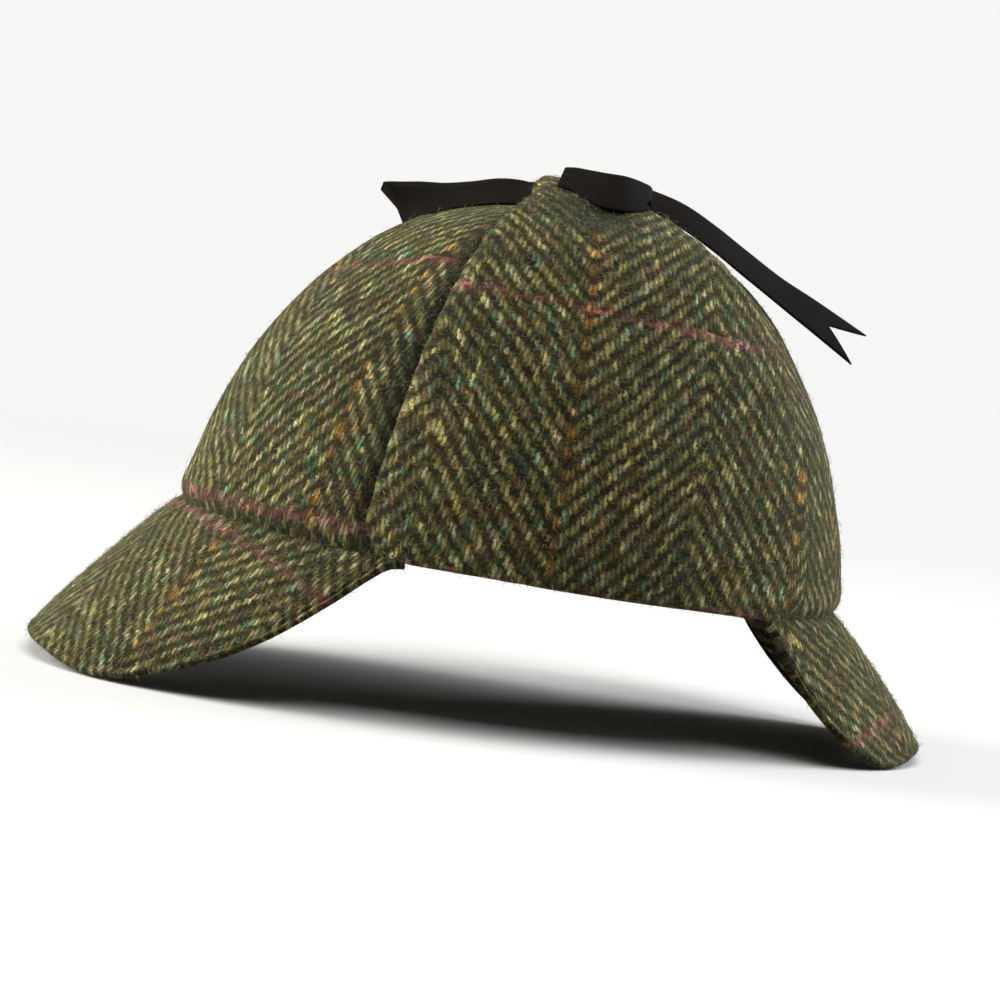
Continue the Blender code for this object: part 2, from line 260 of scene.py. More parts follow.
LOOP_FRONT_ROUTE = (
    Turn(-2.6, -3.5, 115.8, 2),
    Turn(-3.4, -6.0, 115.0, 3),
    Turn(-6.2, -10.0, 113.6, 8),
    Turn(-7.8, -13.4, 111.7, 17),
    Turn(-8.2, -17.4, 110.3, 26),
    Turn(-8.3, -22.0, 109.4, 27),
    Turn(-8.3, -27.0, 108.0, 25),
    Turn(-8.6, -33.0, 106.2, 24),
    Turn(-8.9, -40.0, 104.1, 27, -1.0),
    Turn(-9.6, -47.5, 101.7, 38, -2.0),
    Turn(-10.6, -52.2, 99.5, 62, -3.2),
    Turn(-12.6, -54.1, 98.8, 74, -3.6),
    Turn(-14.2, -51.4, 100.3, 58, -3.0),
    Turn(-15.2, -46.0, 102.8, 40, -1.6),
    Turn(-15.4, -39.0, 104.9, 29),
    Turn(-14.8, -31.0, 107.2, 26),
    Turn(-13.6, -23.0, 109.6, 26),
    Turn(-12.4, -16.0, 110.9, 22),
    Turn(-8.6, -9.6, 112.2, 9),
    Turn(-4.6, -6.0, 113.4, 4),
    Turn(-3.4, -3.5, 113.8, 2),
)
LOOP_REAR_ROUTE = (
    Turn(9.0, -5.6, 117.6, 21, 2.4),
    Turn(12.0, -1.0, 117.4, 27),
    Turn(17.0, 4.0, 116.5, 35),
    Turn(20.4, 9.0, 115.8, 41),
    Turn(19.6, 14.4, 115.9, 40),
    Turn(13.6, 20.4, 116.0, 30),
    Turn(8.4, 22.8, 116.0, 22),
    Turn(5.4, 19.4, 116.9, 17),
    Turn(4.6, 14.4, 117.9, 16),
    Turn(4.6, 10.2, 118.4, 16),
)
TAIL_REAR_ROUTE = (
    Turn(-4.2, 10.2, 117.3, 12),
    Turn(-4.4, 14.0, 116.8, 16),
    Turn(-4.6, 22.0, 115.6, 22),
    Turn(-1.4, 34.0, 112.4, 27),
    Turn(1.0, 45.0, 107.4, 28),
    Turn(2.0, 56.0, 101.4, 29),
    Turn(3.0, 68.0, 95.0, 30),
    Turn(4.0, 80.0, 89.2, 36),
    Turn(5.0, 96.0, 81.2, 43),
)
TAIL_FAR_SPAN = (0.38, 0.93)
TAIL_FAR_ACROSS = 0.35
TAIL_FAR_GAP = 0.8 * MM
TAIL_FAR_POINTS = 90
CAD_RIBBON_WALL = 1.0 * MM

STANCE = Matrix.Translation((0.0, 5.14 * MM, 49.403 * MM)) @ (
    Euler((math.radians(-2.908), 0.0, 0.0)).to_matrix().to_4x4()
)

# The point the camera goes round.
HAT_MIDDLE = (0.0, -0.47 * MM, 99.38 * MM)


class Cut(NamedTuple):
    """How a piece was cut from the cloth. At is where its middle lies on the cloth, in
    mm, turn is the warp's direction, in degrees, and scale is how much finer the weave
    shows on it. Middle is the column that its warp follows, as a share of the width,
    lean slants the weft across it, and bend is how far the weft curves with the dome."""

    at: tuple
    turn: float
    scale: tuple
    middle: float = 0.5
    lean: float = 0.0
    bend: float = 0.6


CUTS = {
    "crown_front_left": Cut((-4.9, 6.9), 180.0, (1.08, 0.984), 0.561, 0.25),
    "crown_back_left": Cut((31.0, 20.0), 0.0, (1.0, 1.0)),
    "crown_back_right": Cut((12.0, 44.0), 180.0, (1.0, 1.0)),
    "crown_front_right": Cut((24.0, 71.0), 0.0, (1.08, 1.0), 0.439, -0.25),
    "ear_flap_left": Cut((-3.3, 2.4), 0.0, (1.0, 1.02), 0.373, -0.06, 0.2),
    "ear_flap_right": Cut((14.0, -60.0), 0.0, (1.0, 1.08), 0.627, 0.05, 0.2),
    "front_peak": Cut((-59.4, 8.7), -13.0, (1.12, 1.12)),
    "back_peak": Cut((24.6, 44.8), 8.0, (1.12, 1.12)),
}
# Limits that keep the map of the cloth in hand at the dome's top.
CLOSING_LIMIT = 60.0
BEND_LIMIT = 1.2


class Fibres(NamedTuple):
    """One kind of loose fibre: its range of length, its radius, its range of rise from
    the cloth in radians, how much it curls, how many rings it has, and its first seed."""

    length: tuple
    radius: float
    rise: tuple
    curl: float
    rings: int
    seed: int


FIBRE_KINDS = {
    "nap": Fibres((1.1 * MM, 4.4 * MM), 0.075 * MM, (0.2, 1.1), 0.5, 2, 40),
    "hairs": Fibres((2.5 * MM, 11.0 * MM), 0.06 * MM, (0.05, 0.4), 0.6, 6, 60),
}
# The pieces that are sown together, and how many fibres they get for one of the crown's.
FIBRE_BEDS = {
    "crown": (("crown_front_left", "crown_back_left", "crown_back_right", "crown_front_right"), 1.0),
    "flaps": (("flap_left", "flap_right"), 1.1),
    "peaks": (("front_peak_cover", "back_peak_cover"), 0.75),
}
FIBRE_SIDES = 3
FIBRE_SHORTNESS = 2.2
FIBRE_THICKNESS = (0.7, 1.3)
FIBRE_ROOT_DEPTH = 0.25 * MM
FIBRE_DROOP = 0.45
FIBRE_SWAY = 2.4
FIBRE_SWING = 0.6 * math.pi
FIBRE_THINNEST = 0.25
INSIDE_HAT = (0.0, 6.0 * MM, 78.0 * MM)
LEAST_HEIGHT = 0.1 * MM

# Studio. The camera and the lamps are a real studio's sizes away from the hat.
FLOOR_RADIUS = 3.0
FLOOR_SIDES = 96
FLOOR_SEEN_TO = (0.32, 0.95)
SENSOR_WIDTH = 36.0
CAMERA_CLIP = (0.05, 50.0)
SOFTBOX_AIM = (0.0, 0.0, 0.08)
SOFTBOXES = (
    {"name": "front", "place": (-0.15, -1.6, 0.6), "size": 1.1, "colour": "#fffdf8"},
    {"name": "back", "place": (-0.45, 1.55, 0.7), "size": 1.1, "colour": "#f9fcff"},
    {"name": "top", "place": (0.75, 0.0, 1.7), "size": 1.4, "colour": "#ffffff"},
)
BACKDROP_SEEN = 0.96
FLOOR_THROWN_BACK = 0.32


def blend(low, high, share):
    """The value a share of the way from low to high."""
    return low + (high - low) * share


def curve(first, start, end, last, share):
    """A Catmull-Rom curve from start to end, with the values before and after them."""
    bend = 2.0 * start + (end - first) * share
    bend += (2.0 * first - 5.0 * start + 4.0 * end - last) * share**2
    return 0.5 * (bend + (3.0 * start - first - 3.0 * end + last) * share**3)


def read_table(rows, key, column, value):
    """A column of a table at a value of its key, on a smooth curve through the rows."""
    span = len(rows) - 2
    row = max(index for index in range(span + 1) if index == 0 or value >= rows[index][key])
    share = (value - rows[row][key]) / (rows[row + 1][key] - rows[row][key])
    four = (rows[max(row - 1, 0)], rows[row], rows[row + 1], rows[min(row + 2, span + 1)])
    return curve(*(entry[column] for entry in four), min(share, 1.0))


def signed_power(base, power):
    """The power of the base's size, with the base's sign."""
    return math.copysign(abs(base) ** power, base)


def dome_height(climb):
    """Height above the rim at a climb from 0, the rim, to a quarter turn, the top."""
    return CROWN_HEIGHT * signed_power(math.sin(climb), 2.0 / CROWN_HEIGHT_POWER)


def dome_share(climb):
    """How far out from the middle the dome is, as a share of its reach at the rim."""
    return math.cos(climb) ** (2.0 / CROWN_REACH_POWER)


def climb_at_share(share):
    """The climb at which the dome is this share out from the middle."""
    return math.acos(share ** (CROWN_REACH_POWER / 2.0))


def rim_point(angle):
    """A point of the rim, from the front, 0, round by the wearer's left to the back."""
    return Vector((CROWN_HALF_WIDTH * math.sin(angle), -CROWN_HALF_LENGTH * math.cos(angle), 0.0))


def dome_normal(point):
    """The way out of the dome at a point of it."""
    scaled = Vector((point.x / CROWN_HALF_WIDTH, point.y / CROWN_HALF_LENGTH, 0.0))
    share = max(scaled.length, 1e-4)
    flat = CROWN_REACH_POWER * share ** (CROWN_REACH_POWER - 2.0)
    rise = max(point.z / CROWN_HEIGHT, 0.0)
    steep = CROWN_HEIGHT_POWER * rise ** (CROWN_HEIGHT_POWER - 1.0) / CROWN_HEIGHT
    normal = Vector((flat * scaled.x / CROWN_HALF_WIDTH, flat * scaled.y / CROWN_HALF_LENGTH, steep))
    return normal.normalized()


def lean(point):
    """The point moved back as the crown leans."""
    return point + Vector((0.0, CROWN_LEAN * point.z / CROWN_HEIGHT, 0.0))


def crown_panel_surface(quarter):
    """A quarter of the dome, from seam to seam."""
    top = climb_at_share(CROWN_TOP_RADIUS / CROWN_HALF_LENGTH)

    def surface(across, along):
        climb = top * along
        angle = (quarter + across) * math.pi / 2.0
        return lean(rim_point(angle) * dome_share(climb) + Vector((0.0, 0.0, dome_height(climb))))

    return surface


def flap_point(across, along, side, lift):
    """A point of the flap on side +1, the wearer's left, or -1, lifted off the dome."""
    angle = blend(FLAP_FRONT_ANGLE, FLAP_REAR_ANGLE, across)
    foot = rim_point(angle) / CROWN_HALF_LENGTH
    foot.x *= CROWN_HALF_LENGTH / CROWN_HALF_WIDTH
    tip_y = blend(-FLAP_TIP_HALF, FLAP_TIP_HALF, across)
    tip = Vector((FLAP_TIP_OFFSET / CROWN_HALF_WIDTH, tip_y / CROWN_HALF_LENGTH, 0.0))
    arc = (FLAP_REAR_ANGLE - FLAP_FRONT_ANGLE) * (CROWN_HALF_WIDTH + CROWN_HALF_LENGTH) / 2.0
    into_corner = max(0.0, 1.0 - min(across, 1.0 - across) * arc / FLAP_CORNER_WIDTH)
    corner = FLAP_CORNER_RISE * (1.0 - math.sqrt(1.0 - into_corner**2))
    hem = corner - FLAP_HEM_DROP + FLAP_HEM_ARCH * math.sin(math.pi * across)
    low = math.asin(signed_power(hem / CROWN_HEIGHT, CROWN_HEIGHT_POWER / 2.0))
    high = climb_at_share(max(tip.length, 0.01))
    climb = blend(low, high, along)
    share = dome_share(climb)
    # The ray from the foot to the tip is followed in plan to where the dome has this share.
    ray = tip - foot
    half_b = foot.dot(ray)
    root = half_b * half_b - ray.dot(ray) * (foot.dot(foot) - share * share)
    step = (-half_b - math.sqrt(max(root, 0.0))) / ray.dot(ray)
    flat = foot + ray * step
    point = Vector((flat.x * CROWN_HALF_WIDTH, flat.y * CROWN_HALF_LENGTH, dome_height(climb)))
    point = lean(point + dome_normal(point) * lift)
    point.x = max(point.x, FLAP_TIP_OFFSET)
    point.x *= side
    return point


def flap_surface(side):
    """The middle of the flap's thickness."""

    def surface(across, along):
        across = across if side > 0 else 1.0 - across
        gap = read_table(FLAP_STANDOFF, "up", "gap", along)
        return flap_point(across, along, side, gap + FLAP_WALL / 2.0)

    return surface


def peak_surface(peak):
    """The top of a stiff peak: rays from the rim to an edge that droops."""

    def surface(across, along):
        turn = blend(peak["half_angle"], -peak["half_angle"], across)
        root = rim_point(turn) * (1.0 - PEAK_TUCK / CROWN_HALF_LENGTH)
        end = rim_point(peak["half_angle"]).y
        sweep = math.pi / 2.0 * turn / peak["half_angle"]
        forward = math.cos(sweep) ** (2.0 / peak["outline_power"])
        edge_x = peak["half_width"] * signed_power(math.sin(sweep), 2.0 / peak["outline_power"])
        edge_y = blend(end, -peak["tip"], forward)
        drop = read_table(peak["droop"], "forward", "drop", forward)
        drop *= along * (1.0 - peak["crown_roll"] * (1.0 - along))
        point = Vector((blend(root.x, edge_x, along), blend(root.y, edge_y, along), -PEAK_GAP - drop))
        if peak["facing"] > 0:
            point.x, point.y = -point.x, -point.y
        return point

    return surface


def crowded(share, crowding):
    """Moves a share towards the nearer end, so that rows lie closer there."""
    return share - crowding * math.sin(2.0 * math.pi * share) / (2.0 * math.pi)


def add_cloth_grid(name, columns, rows, crowding, surface):
    """A grid primitive laid on surface(across, along), with its points by row and column."""
    bpy.ops.object.select_all(action="DESELECT")
    bpy.ops.mesh.primitive_grid_add(x_subdivisions=columns, y_subdivisions=rows, size=1.0)
    piece = bpy.context.object
    piece.name = piece.data.name = name
    piece.data.uv_layers[0].name = CLOTH_MAP
    flat = read_all(piece.data.vertices, "co", 3).round(6)
    order = np.lexsort((flat[:, 0], flat[:, 1]))
    wide = len(np.unique(flat[:, 0]))
    points = np.array([
        surface(crowded(x + 0.5, crowding[0]), crowded(y + 0.5, crowding[1])) for x, y, _ in flat[order]
    ])
    return piece, order.reshape(-1, wide), points.reshape(-1, wide, 3)


def grid_normals(points):
    """The way out of a sheet at each of its points."""
    normals = np.cross(np.gradient(points, axis=1), np.gradient(points, axis=0))
    return normals / np.maximum(np.linalg.norm(normals, axis=2, keepdims=True), 1e-12)


def run_along(points, axis):
    """How far each point is from the first one of its row or column, along the sheet."""
    steps = np.linalg.norm(np.diff(points, axis=axis), axis=2)
    start = np.zeros_like(steps.take([0], axis=axis))
    return np.cumsum(np.concatenate((start, steps), axis=axis), axis=axis)


def waves(points, table):
    """Smooth hollows and swells over the sheet, by a table of how far apart they lie."""
    total = np.zeros(points.shape[:2])
    for row in table:
        moved = (points / row["apart"] + row["seed"]).reshape(-1, 3)
        wave = np.array([noise.noise(Vector(point)) for point in moved])
        total += wave.reshape(total.shape) * NOISE_TO_ONE * row["height"]
    return total


def rim_arc(angle):
    """How far round the rim an angle is from the front, in m."""
    steps = np.linspace(-2.0 * math.pi, 2.0 * math.pi, 2881)
    pace = np.hypot(CROWN_HALF_WIDTH * np.cos(steps), CROWN_HALF_LENGTH * np.sin(steps))
    run = np.cumsum(pace) * (steps[1] - steps[0])
    return np.interp(angle, steps, run)


def lay_on_cloth(points, cut):
    """Where each point of a piece of the dome lies on the flat cloth, in mm. The cloth's
    warp follows the piece's middle, and its weft goes level round the dome."""
    foot = run_along(points, 1)[0]
    middle = int(np.abs(foot - cut.middle * foot[-1]).argmin())
    level = points[..., 2]
    x = points[..., 0] / CROWN_HALF_WIDTH
    y = (points[..., 1] - CROWN_LEAN * level / CROWN_HEIGHT) / CROWN_HALF_LENGTH
    share, angle = np.hypot(x, y), np.arctan2(x, -y)
    up = run_along(points, 0)[:, middle]
    height = np.maximum.accumulate(level[:, middle]) + np.arange(len(up)) * 1e-9
    closing = -np.gradient(share[:, middle], up) / np.maximum(share[:, middle], 1e-4)
    ridge = np.interp(level, height, np.unwrap(angle[:, middle]))
    around = (angle - ridge + math.pi) % (2.0 * math.pi) - math.pi
    across = share * (rim_arc(ridge + around) - rim_arc(ridge))
    along = np.interp(level, height, up)
    bend = np.interp(level, height, np.clip(closing, 0.0, CLOSING_LIMIT)) * across
    bend = np.clip(bend, -BEND_LIMIT, BEND_LIMIT) * cut.bend
    u = across * np.sinc(bend / np.pi)
    v = along + across * np.tan(bend / 2.0)
    v = v - cut.lean * across * along / up[-1]
    return np.stack((u, v), axis=2) / MM


def cut_cloth(on_cloth, cut):
    """Turns a flat piece and sets it where it was cut from the cloth, in mm."""
    turn = math.radians(cut.turn)
    u, v = on_cloth[..., 0] * cut.scale[0], on_cloth[..., 1] * cut.scale[1]
    turned = (u * math.cos(turn) - v * math.sin(turn), u * math.sin(turn) + v * math.cos(turn))
    return np.stack((turned[0] + cut.at[0], turned[1] + cut.at[1]), axis=-1)


def read_all(rows, name, width, kind=float):
    """One property of all of a mesh's points, corners or triangles, a row for each."""
    found = np.empty(len(rows) * width, dtype=kind)
    rows.foreach_get(name, found)
    return found.reshape(-1, width)


def by_vertex(order, values):
    """Values by row and column, put in the order of the mesh's own points."""
    found = np.empty((order.size, values.shape[-1]))
    found[order.ravel()] = values.reshape(found.shape)
    return found


def write_cloth_map(piece, order, on_cloth):
    """Writes the piece's UV map, which holds its place on the flat cloth in mm."""
    corners = read_all(piece.data.loops, "vertex_index", 1, np.int32)[:, 0]
    places = by_vertex(order, on_cloth)[corners]
    piece.data.uv_layers[CLOTH_MAP].data.foreach_set("uv", places.ravel())


def write_points(piece, order, points):
    """Puts the sheet's points in the row frame, as the hat stands."""
    turn = np.array(STANCE)
    stood = points @ turn[:3, :3].T + turn[:3, 3]
    piece.data.vertices.foreach_set("co", by_vertex(order, stood).ravel())
    piece.data.update()


def write_painted_shade(piece, order, crease):
    """Keeps how much painted shade each point gets, deepest in folds and seams and under the bow."""
    depths = by_vertex(order, crease[..., None])
    layer = piece.data.attributes.new(PAINTED_SHADE_ATTRIBUTE, "FLOAT", "POINT")
    layer.data.foreach_set("value", depths.ravel().astype(np.float32))


def near(distance, reach):
    """1 where the distance is 0, and less the farther it is beyond the reach."""
    return np.exp(-((distance / reach) ** 2))


def painted_shade(name, distance):
    """How much painted shade a fold or seam lays on each point, by its distance."""
    return PAINTED_SHADES[name]["depth"] * near(distance, PAINTED_SHADES[name]["reach"])


def edit_whole(piece):
    """Opens a piece in edit mode with all of it selected."""
    bpy.ops.object.select_all(action="DESELECT")
    piece.select_set(True)
    bpy.context.view_layer.objects.active = piece
    bpy.ops.object.mode_set(mode="EDIT")
    bpy.ops.mesh.select_all(action="SELECT")


def add_wall(piece, order, thickness, offset, weights=None):
    """Gives a sheet its thickness, thinner where the weights are lower."""
    wall = piece.modifiers.new("wall", "SOLIDIFY")
    wall.thickness = thickness
    wall.offset = offset
    if weights is not None:
        group = piece.vertex_groups.new(name="wall")
        for vertex, weight in zip(order.ravel().tolist(), weights.ravel().tolist()):
            group.add([vertex], min(max(weight, 0.0), 1.0), "REPLACE")
        wall.vertex_group = group.name
    bpy.context.view_layer.objects.active = piece
    bpy.ops.object.modifier_apply(modifier=wall.name)
    piece.vertex_groups.clear()
    for polygon in piece.data.polygons:
        polygon.use_smooth = True


def finish_piece(piece, material, nodes):
    """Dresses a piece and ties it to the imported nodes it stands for."""
    piece.data.materials.clear()
    piece.data.materials.append(material)
    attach(piece, "root")
    if nodes:
        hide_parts(*nodes)
    return piece


def linear(colour):
    """An sRGB hex colour as linear red, green, blue and alpha."""
    parts = [int(colour[start : start + 2], 16) / 255.0 for start in (1, 3, 5)]
    return (*((p / 12.92 if p <= 0.04045 else ((p + 0.055) / 1.055) ** 2.4) for p in parts), 1.0)


def add_node(tree, kind, *inputs, out=0, **settings):
    """Adds a node with its settings, sets or links its inputs, and gives one output. The
    inputs stand in the node's own order, or in one dict by their names or numbers."""
    made = tree.nodes.new("ShaderNode" + kind)
    for name, value in settings.items():
        setattr(made, name, value)
    by_place = inputs[0] if inputs and isinstance(inputs[0], dict) else dict(enumerate(inputs))
    for key, value in by_place.items():
        if isinstance(value, bpy.types.NodeSocket):
            tree.links.new(value, made.inputs[key])
        else:
            made.inputs[key].default_value = value
    return made.outputs[out] if made.outputs else None


def set_ramp(output, stops):
    """Sets a colour ramp's stops from (place, hex colour) pairs."""
    ramp = output.node.color_ramp
    while len(ramp.elements) > 1:
        ramp.elements.remove(ramp.elements[-1])
    for index, (place, colour) in enumerate(stops):
        element = ramp.elements[0] if index == 0 else ramp.elements.new(place)
        element.position = place
        element.color = linear(colour)
    return output


def new_surface(name, **finish):
    """A new material, with its shader's own sockets set, and a way to add its nodes."""
    material = bpy.data.materials.new(name)
    material.use_nodes = True
    material.node_tree.nodes.clear()
    node = partial(add_node, material.node_tree)
    sockets = {key.replace("_", " "): value for key, value in finish.items()}
    shader = node("BsdfPrincipled", sockets)
    node("OutputMaterial", {"Surface": shader})
    return material, node, shader.node.inputs


# Carded wool is spun from many dyed fleeces, so each yarn is a mixture, and every
# float has a hue and a depth of its own. These hues are about equally light.
WARP_HUES = (
    (0.00, "#1e6a50"),
    (0.09, "#47683a"),
    (0.19, "#68685a"),
    (0.30, "#6f6632"),
    (0.42, "#65643a"),
    (0.54, "#7a6a0a"),
    (0.64, "#6e5a34"),
    (0.75, "#6a6a5c"),
    (0.86, "#426e52"),
    (0.96, "#8a4c10"),
)
WEFT_HUES = (
    (0.00, "#00654c"),
    (0.16, "#355c32"),
    (0.32, "#585420"),
    (0.50, "#6c4c14"),
    (0.66, "#6f432c"),
    (0.80, "#663c44"),
    (0.90, "#325f3e"),
)
# Clouds of noise in the cloth. The scale is how many of their hollows fit in a mm.
WOOL_NOISE = {
    "fibres": {"Scale": 2.1, "Detail": 3.0, "Roughness": 0.6},
    "weft_level": {"Scale": 1.7, "Detail": 3.0, "Roughness": 0.6},
    "grain": {"Scale": 3.0, "Detail": 2.0, "Roughness": 0.6},
    "patches": {"Scale": 0.14, "Detail": 2.0, "Roughness": 0.6},
    "fluff": {"Scale": 0.9, "Detail": 4.0, "Roughness": 0.6},
    "fluff_tone": {"Scale": 0.45, "Detail": 2.0, "Roughness": 0.6},
    "wear": {"Scale": 0.022, "Detail": 3.0, "Roughness": 0.6},
}
# The cloth wanders in wide bends, its stripes in smaller ones, and each yarn a little.
# The scale is as above, and the amount is how far in mm it can move a spot.
WANDERINGS = (
    {"scale": 0.03, "amount": 5.0},
    {"scale": 0.3, "amount": 1.9},
    {"scale": 1.1, "amount": 1.4},
    {"scale": 2.6, "amount": 0.7},
)
FLUFF_TONES = ((0.3, "#363b1b"), (0.45, "#525429"), (0.56, "#5f6038"), (0.7, "#42643f"))
# The twill repeats over four yarns: a float goes over two of them and under two.
REPEAT = 4.0
FLOAT = 2.0
# Carded fibres lie slanted in the yarns and are drawn out along them.
FIBRE_SLANT = 0.5
FIBRE_STRETCH = 0.28
# How far, in picks, the fibres, a float's round sides and chance draw its ends in, and
# the soft border, in picks from its middle, where weft takes over from it.
OUTLINE = {"fibres": 2.0, "sides": 0.35, "chance": 1.1}
BORDER = (2.55, 3.25)
# The third coordinate of each noise or dice, which keeps them apart.
WARP_SEED = 7.0
WEFT_SEED = 0.0
LEVEL_SEED = 5.0
# How high the yarns stand, as a share of a warp float's crest.
SIDE_HEIGHT = 0.15
SIDE_ROUNDNESS = 2.4
END_REACH = 2.4
WARP_RISE = (0.75, 0.25)
WEFT_RISE = (-0.2, 0.3)
FLUFF_RISE = 0.5
FIBRE_RISE = 0.5
BUMP_HEIGHT = 0.5 * MM
# A float's own hue, and how far single fibres stray from it.
DEALT_HUE = 0.72
STRAY_HUE = (1.9, -0.81)
LINE_YARNS = 1.5
# What makes the cloth lighter or darker, in stops: each doubles or halves the light.
# A cause is a value from 0 to 1, and here is how many stops the whole of it makes.
STOPS = {
    # The weft starts darker than the warp: partly its own darker wool, partly painted shade in the
    # hollows between the warp floats.
    "weft": {"start": -5.8, "chance": 2.0, "level": 6.0},
    # The warp's swell paints a highlight on each float's crest and shade at its ends.
    "warp": {"start": -3.9, "chance": 1.7, "swell_and_highlight": 1.6, "fibres": 4.2},
    # The crease is painted shade in folds, seams and under the bow.
    "cloth": {"grain": 3.6, "wine_weft": 1.7, "patches": 3.8, "crease": -1.3},
}
CONTRAST = 0.89
LIGHTNESS = -3.473
# How much a darker tone deepens the colour, from the dye and from the painted shade alike.
DEEPENING_BY_TONE = {"per_stop": -0.16, "least": 0.76, "most": 1.5}
FLUFF_COVER = (0.46, 0.76, 0.0, 0.42)
WEAR = (0.3, 0.7, 0.78, 1.22)


def wander_cloth(node, place):
    """The place on the cloth in mm, moved about as a hand-woven cloth's yarns are."""
    straight = {"Vector": place, "Detail": 1.0, "Roughness": 0.6}
    for row in WANDERINGS:
        moved = node("TexNoise", {**straight, "Scale": row["scale"]}, out="Color")
        moved = node("VectorMath", moved, (0.5, 0.5, 0.5), operation="SUBTRACT")
        amount = (row["amount"], row["amount"], 0.0)
        place = node("VectorMath", moved, amount, place, operation="MULTIPLY_ADD")
    return node("SeparateXYZ", place).node.outputs


def throw_dice(node, *place):
    """Three values from 0 to 1, by chance, that are the same all over one float."""
    where = node("CombineXYZ", *place)
    colour = node("TexWhiteNoise", where, out="Color", noise_dimensions="3D")
    return node("SeparateXYZ", colour).node.outputs


def weave_twill(node, settings, across, along):
    """A 2/2 herringbone twill: each spot's end and pick, how far it is from its warp
    float's middle and its yarn's middle, its fibres, and what chance dealt its yarns."""
    ends = node("Math", across, settings.end_spacing / MM, operation="DIVIDE")
    picks = node("Math", along, settings.pick_spacing / MM, operation="DIVIDE")
    end, in_end = (node("Math", ends, operation=part) for part in ("FLOOR", "FRACT"))
    pick, in_pick = (node("Math", picks, operation=part) for part in ("FLOOR", "FRACT"))

    # The twill steps one pick an end, and turns back at each stripe's edge.
    middle = node("Math", end, 0.5, operation="ADD")
    turned = node("Math", middle, float(settings.stripe_ends), operation="PINGPONG")
    step = node("Math", pick, node("Math", turned, operation="FLOOR"), operation="SUBTRACT")
    run = node("Math", step, in_pick, operation="ADD")
    off_middle = node("Math", run, REPEAT - 1.0, operation="ADD")
    off_middle = node("Math", off_middle, FLOAT, operation="PINGPONG")
    side = node("Math", in_end, 2.0, -1.0, operation="MULTIPLY_ADD")
    side = node("Math", side, operation="ABSOLUTE")

    slanted = node("Math", along, FIBRE_SLANT, across, operation="MULTIPLY_ADD")
    drawn_out = node("Math", along, FIBRE_STRETCH, operation="MULTIPLY")
    slanted = node("CombineXYZ", slanted, drawn_out)
    fibres = node("TexNoise", {"Vector": slanted, **WOOL_NOISE["fibres"]}).node.outputs

    started = node("Math", run, 1.0, operation="ADD")
    started = node("Math", started, REPEAT, operation="DIVIDE")
    warp_dice = throw_dice(node, end, node("Math", started, operation="FLOOR"), WARP_SEED)
    started = node("Math", step, REPEAT, operation="DIVIDE")
    weft_dice = throw_dice(node, pick, node("Math", started, operation="FLOOR"), WEFT_SEED)
    return {
        "end": end,
        "pick": pick,
        "in_pick": in_pick,
        "off_middle": off_middle,
        "side": side,
        "fibre_depth": fibres["Fac"],
        "fibre_hue": node("SeparateXYZ", fibres["Color"], out=1),
        "warp_dice": warp_dice,
        "weft_dice": weft_dice,
    }


def shape_yarns(node, yarns):
    """Where warp lies over weft, how far a warp float swells, which also sets its painted
    highlight, and the cloth's height.
    """
    # A float's outline is ragged. Some lie slack and spread, and some are drawn short.
    side, off_middle = yarns["side"], yarns["off_middle"]
    narrowed = node("Math", side, 3.0, operation="POWER")
    causes = {"fibres": yarns["fibre_depth"], "sides": narrowed, "chance": yarns["warp_dice"][2]}
    ragged = off_middle
    for cause, value in causes.items():
        ragged = node("Math", value, OUTLINE[cause], ragged, operation="MULTIPLY_ADD")
    warp_up = node("MapRange", ragged, *BORDER, 1.0, 0.0)

    # Each yarn is round, and a warp float swells in its middle and dives at its ends.
    round_side = node("Math", side, SIDE_ROUNDNESS, operation="POWER")
    round_side = node("MapRange", round_side, 0.0, 1.0, 1.0, SIDE_HEIGHT)
    round_end = node("Math", off_middle, 2.0, operation="POWER")
    round_end = node("MapRange", round_end, 0.0, END_REACH, 1.0, 0.0)
    # The swell also paints a highlight on the float's crest and shade where it dives.
    swell_and_highlight = node("Math", round_side, round_end, operation="MULTIPLY")
    low = node("Math", yarns["in_pick"], 2.0, -1.0, operation="MULTIPLY_ADD")
    low = node("Math", node("Math", low, operation="ABSOLUTE"), 2.0, operation="POWER")
    weft = node("Math", low, *WEFT_RISE, operation="MULTIPLY_ADD")
    warp = node("Math", swell_and_highlight, *WARP_RISE, operation="MULTIPLY_ADD")
    height = node("Mix", {0: warp_up, 2: weft, 3: warp}, data_type="FLOAT")
    return {**yarns, "warp_up": warp_up, "swell_and_highlight": swell_and_highlight, "height": height}


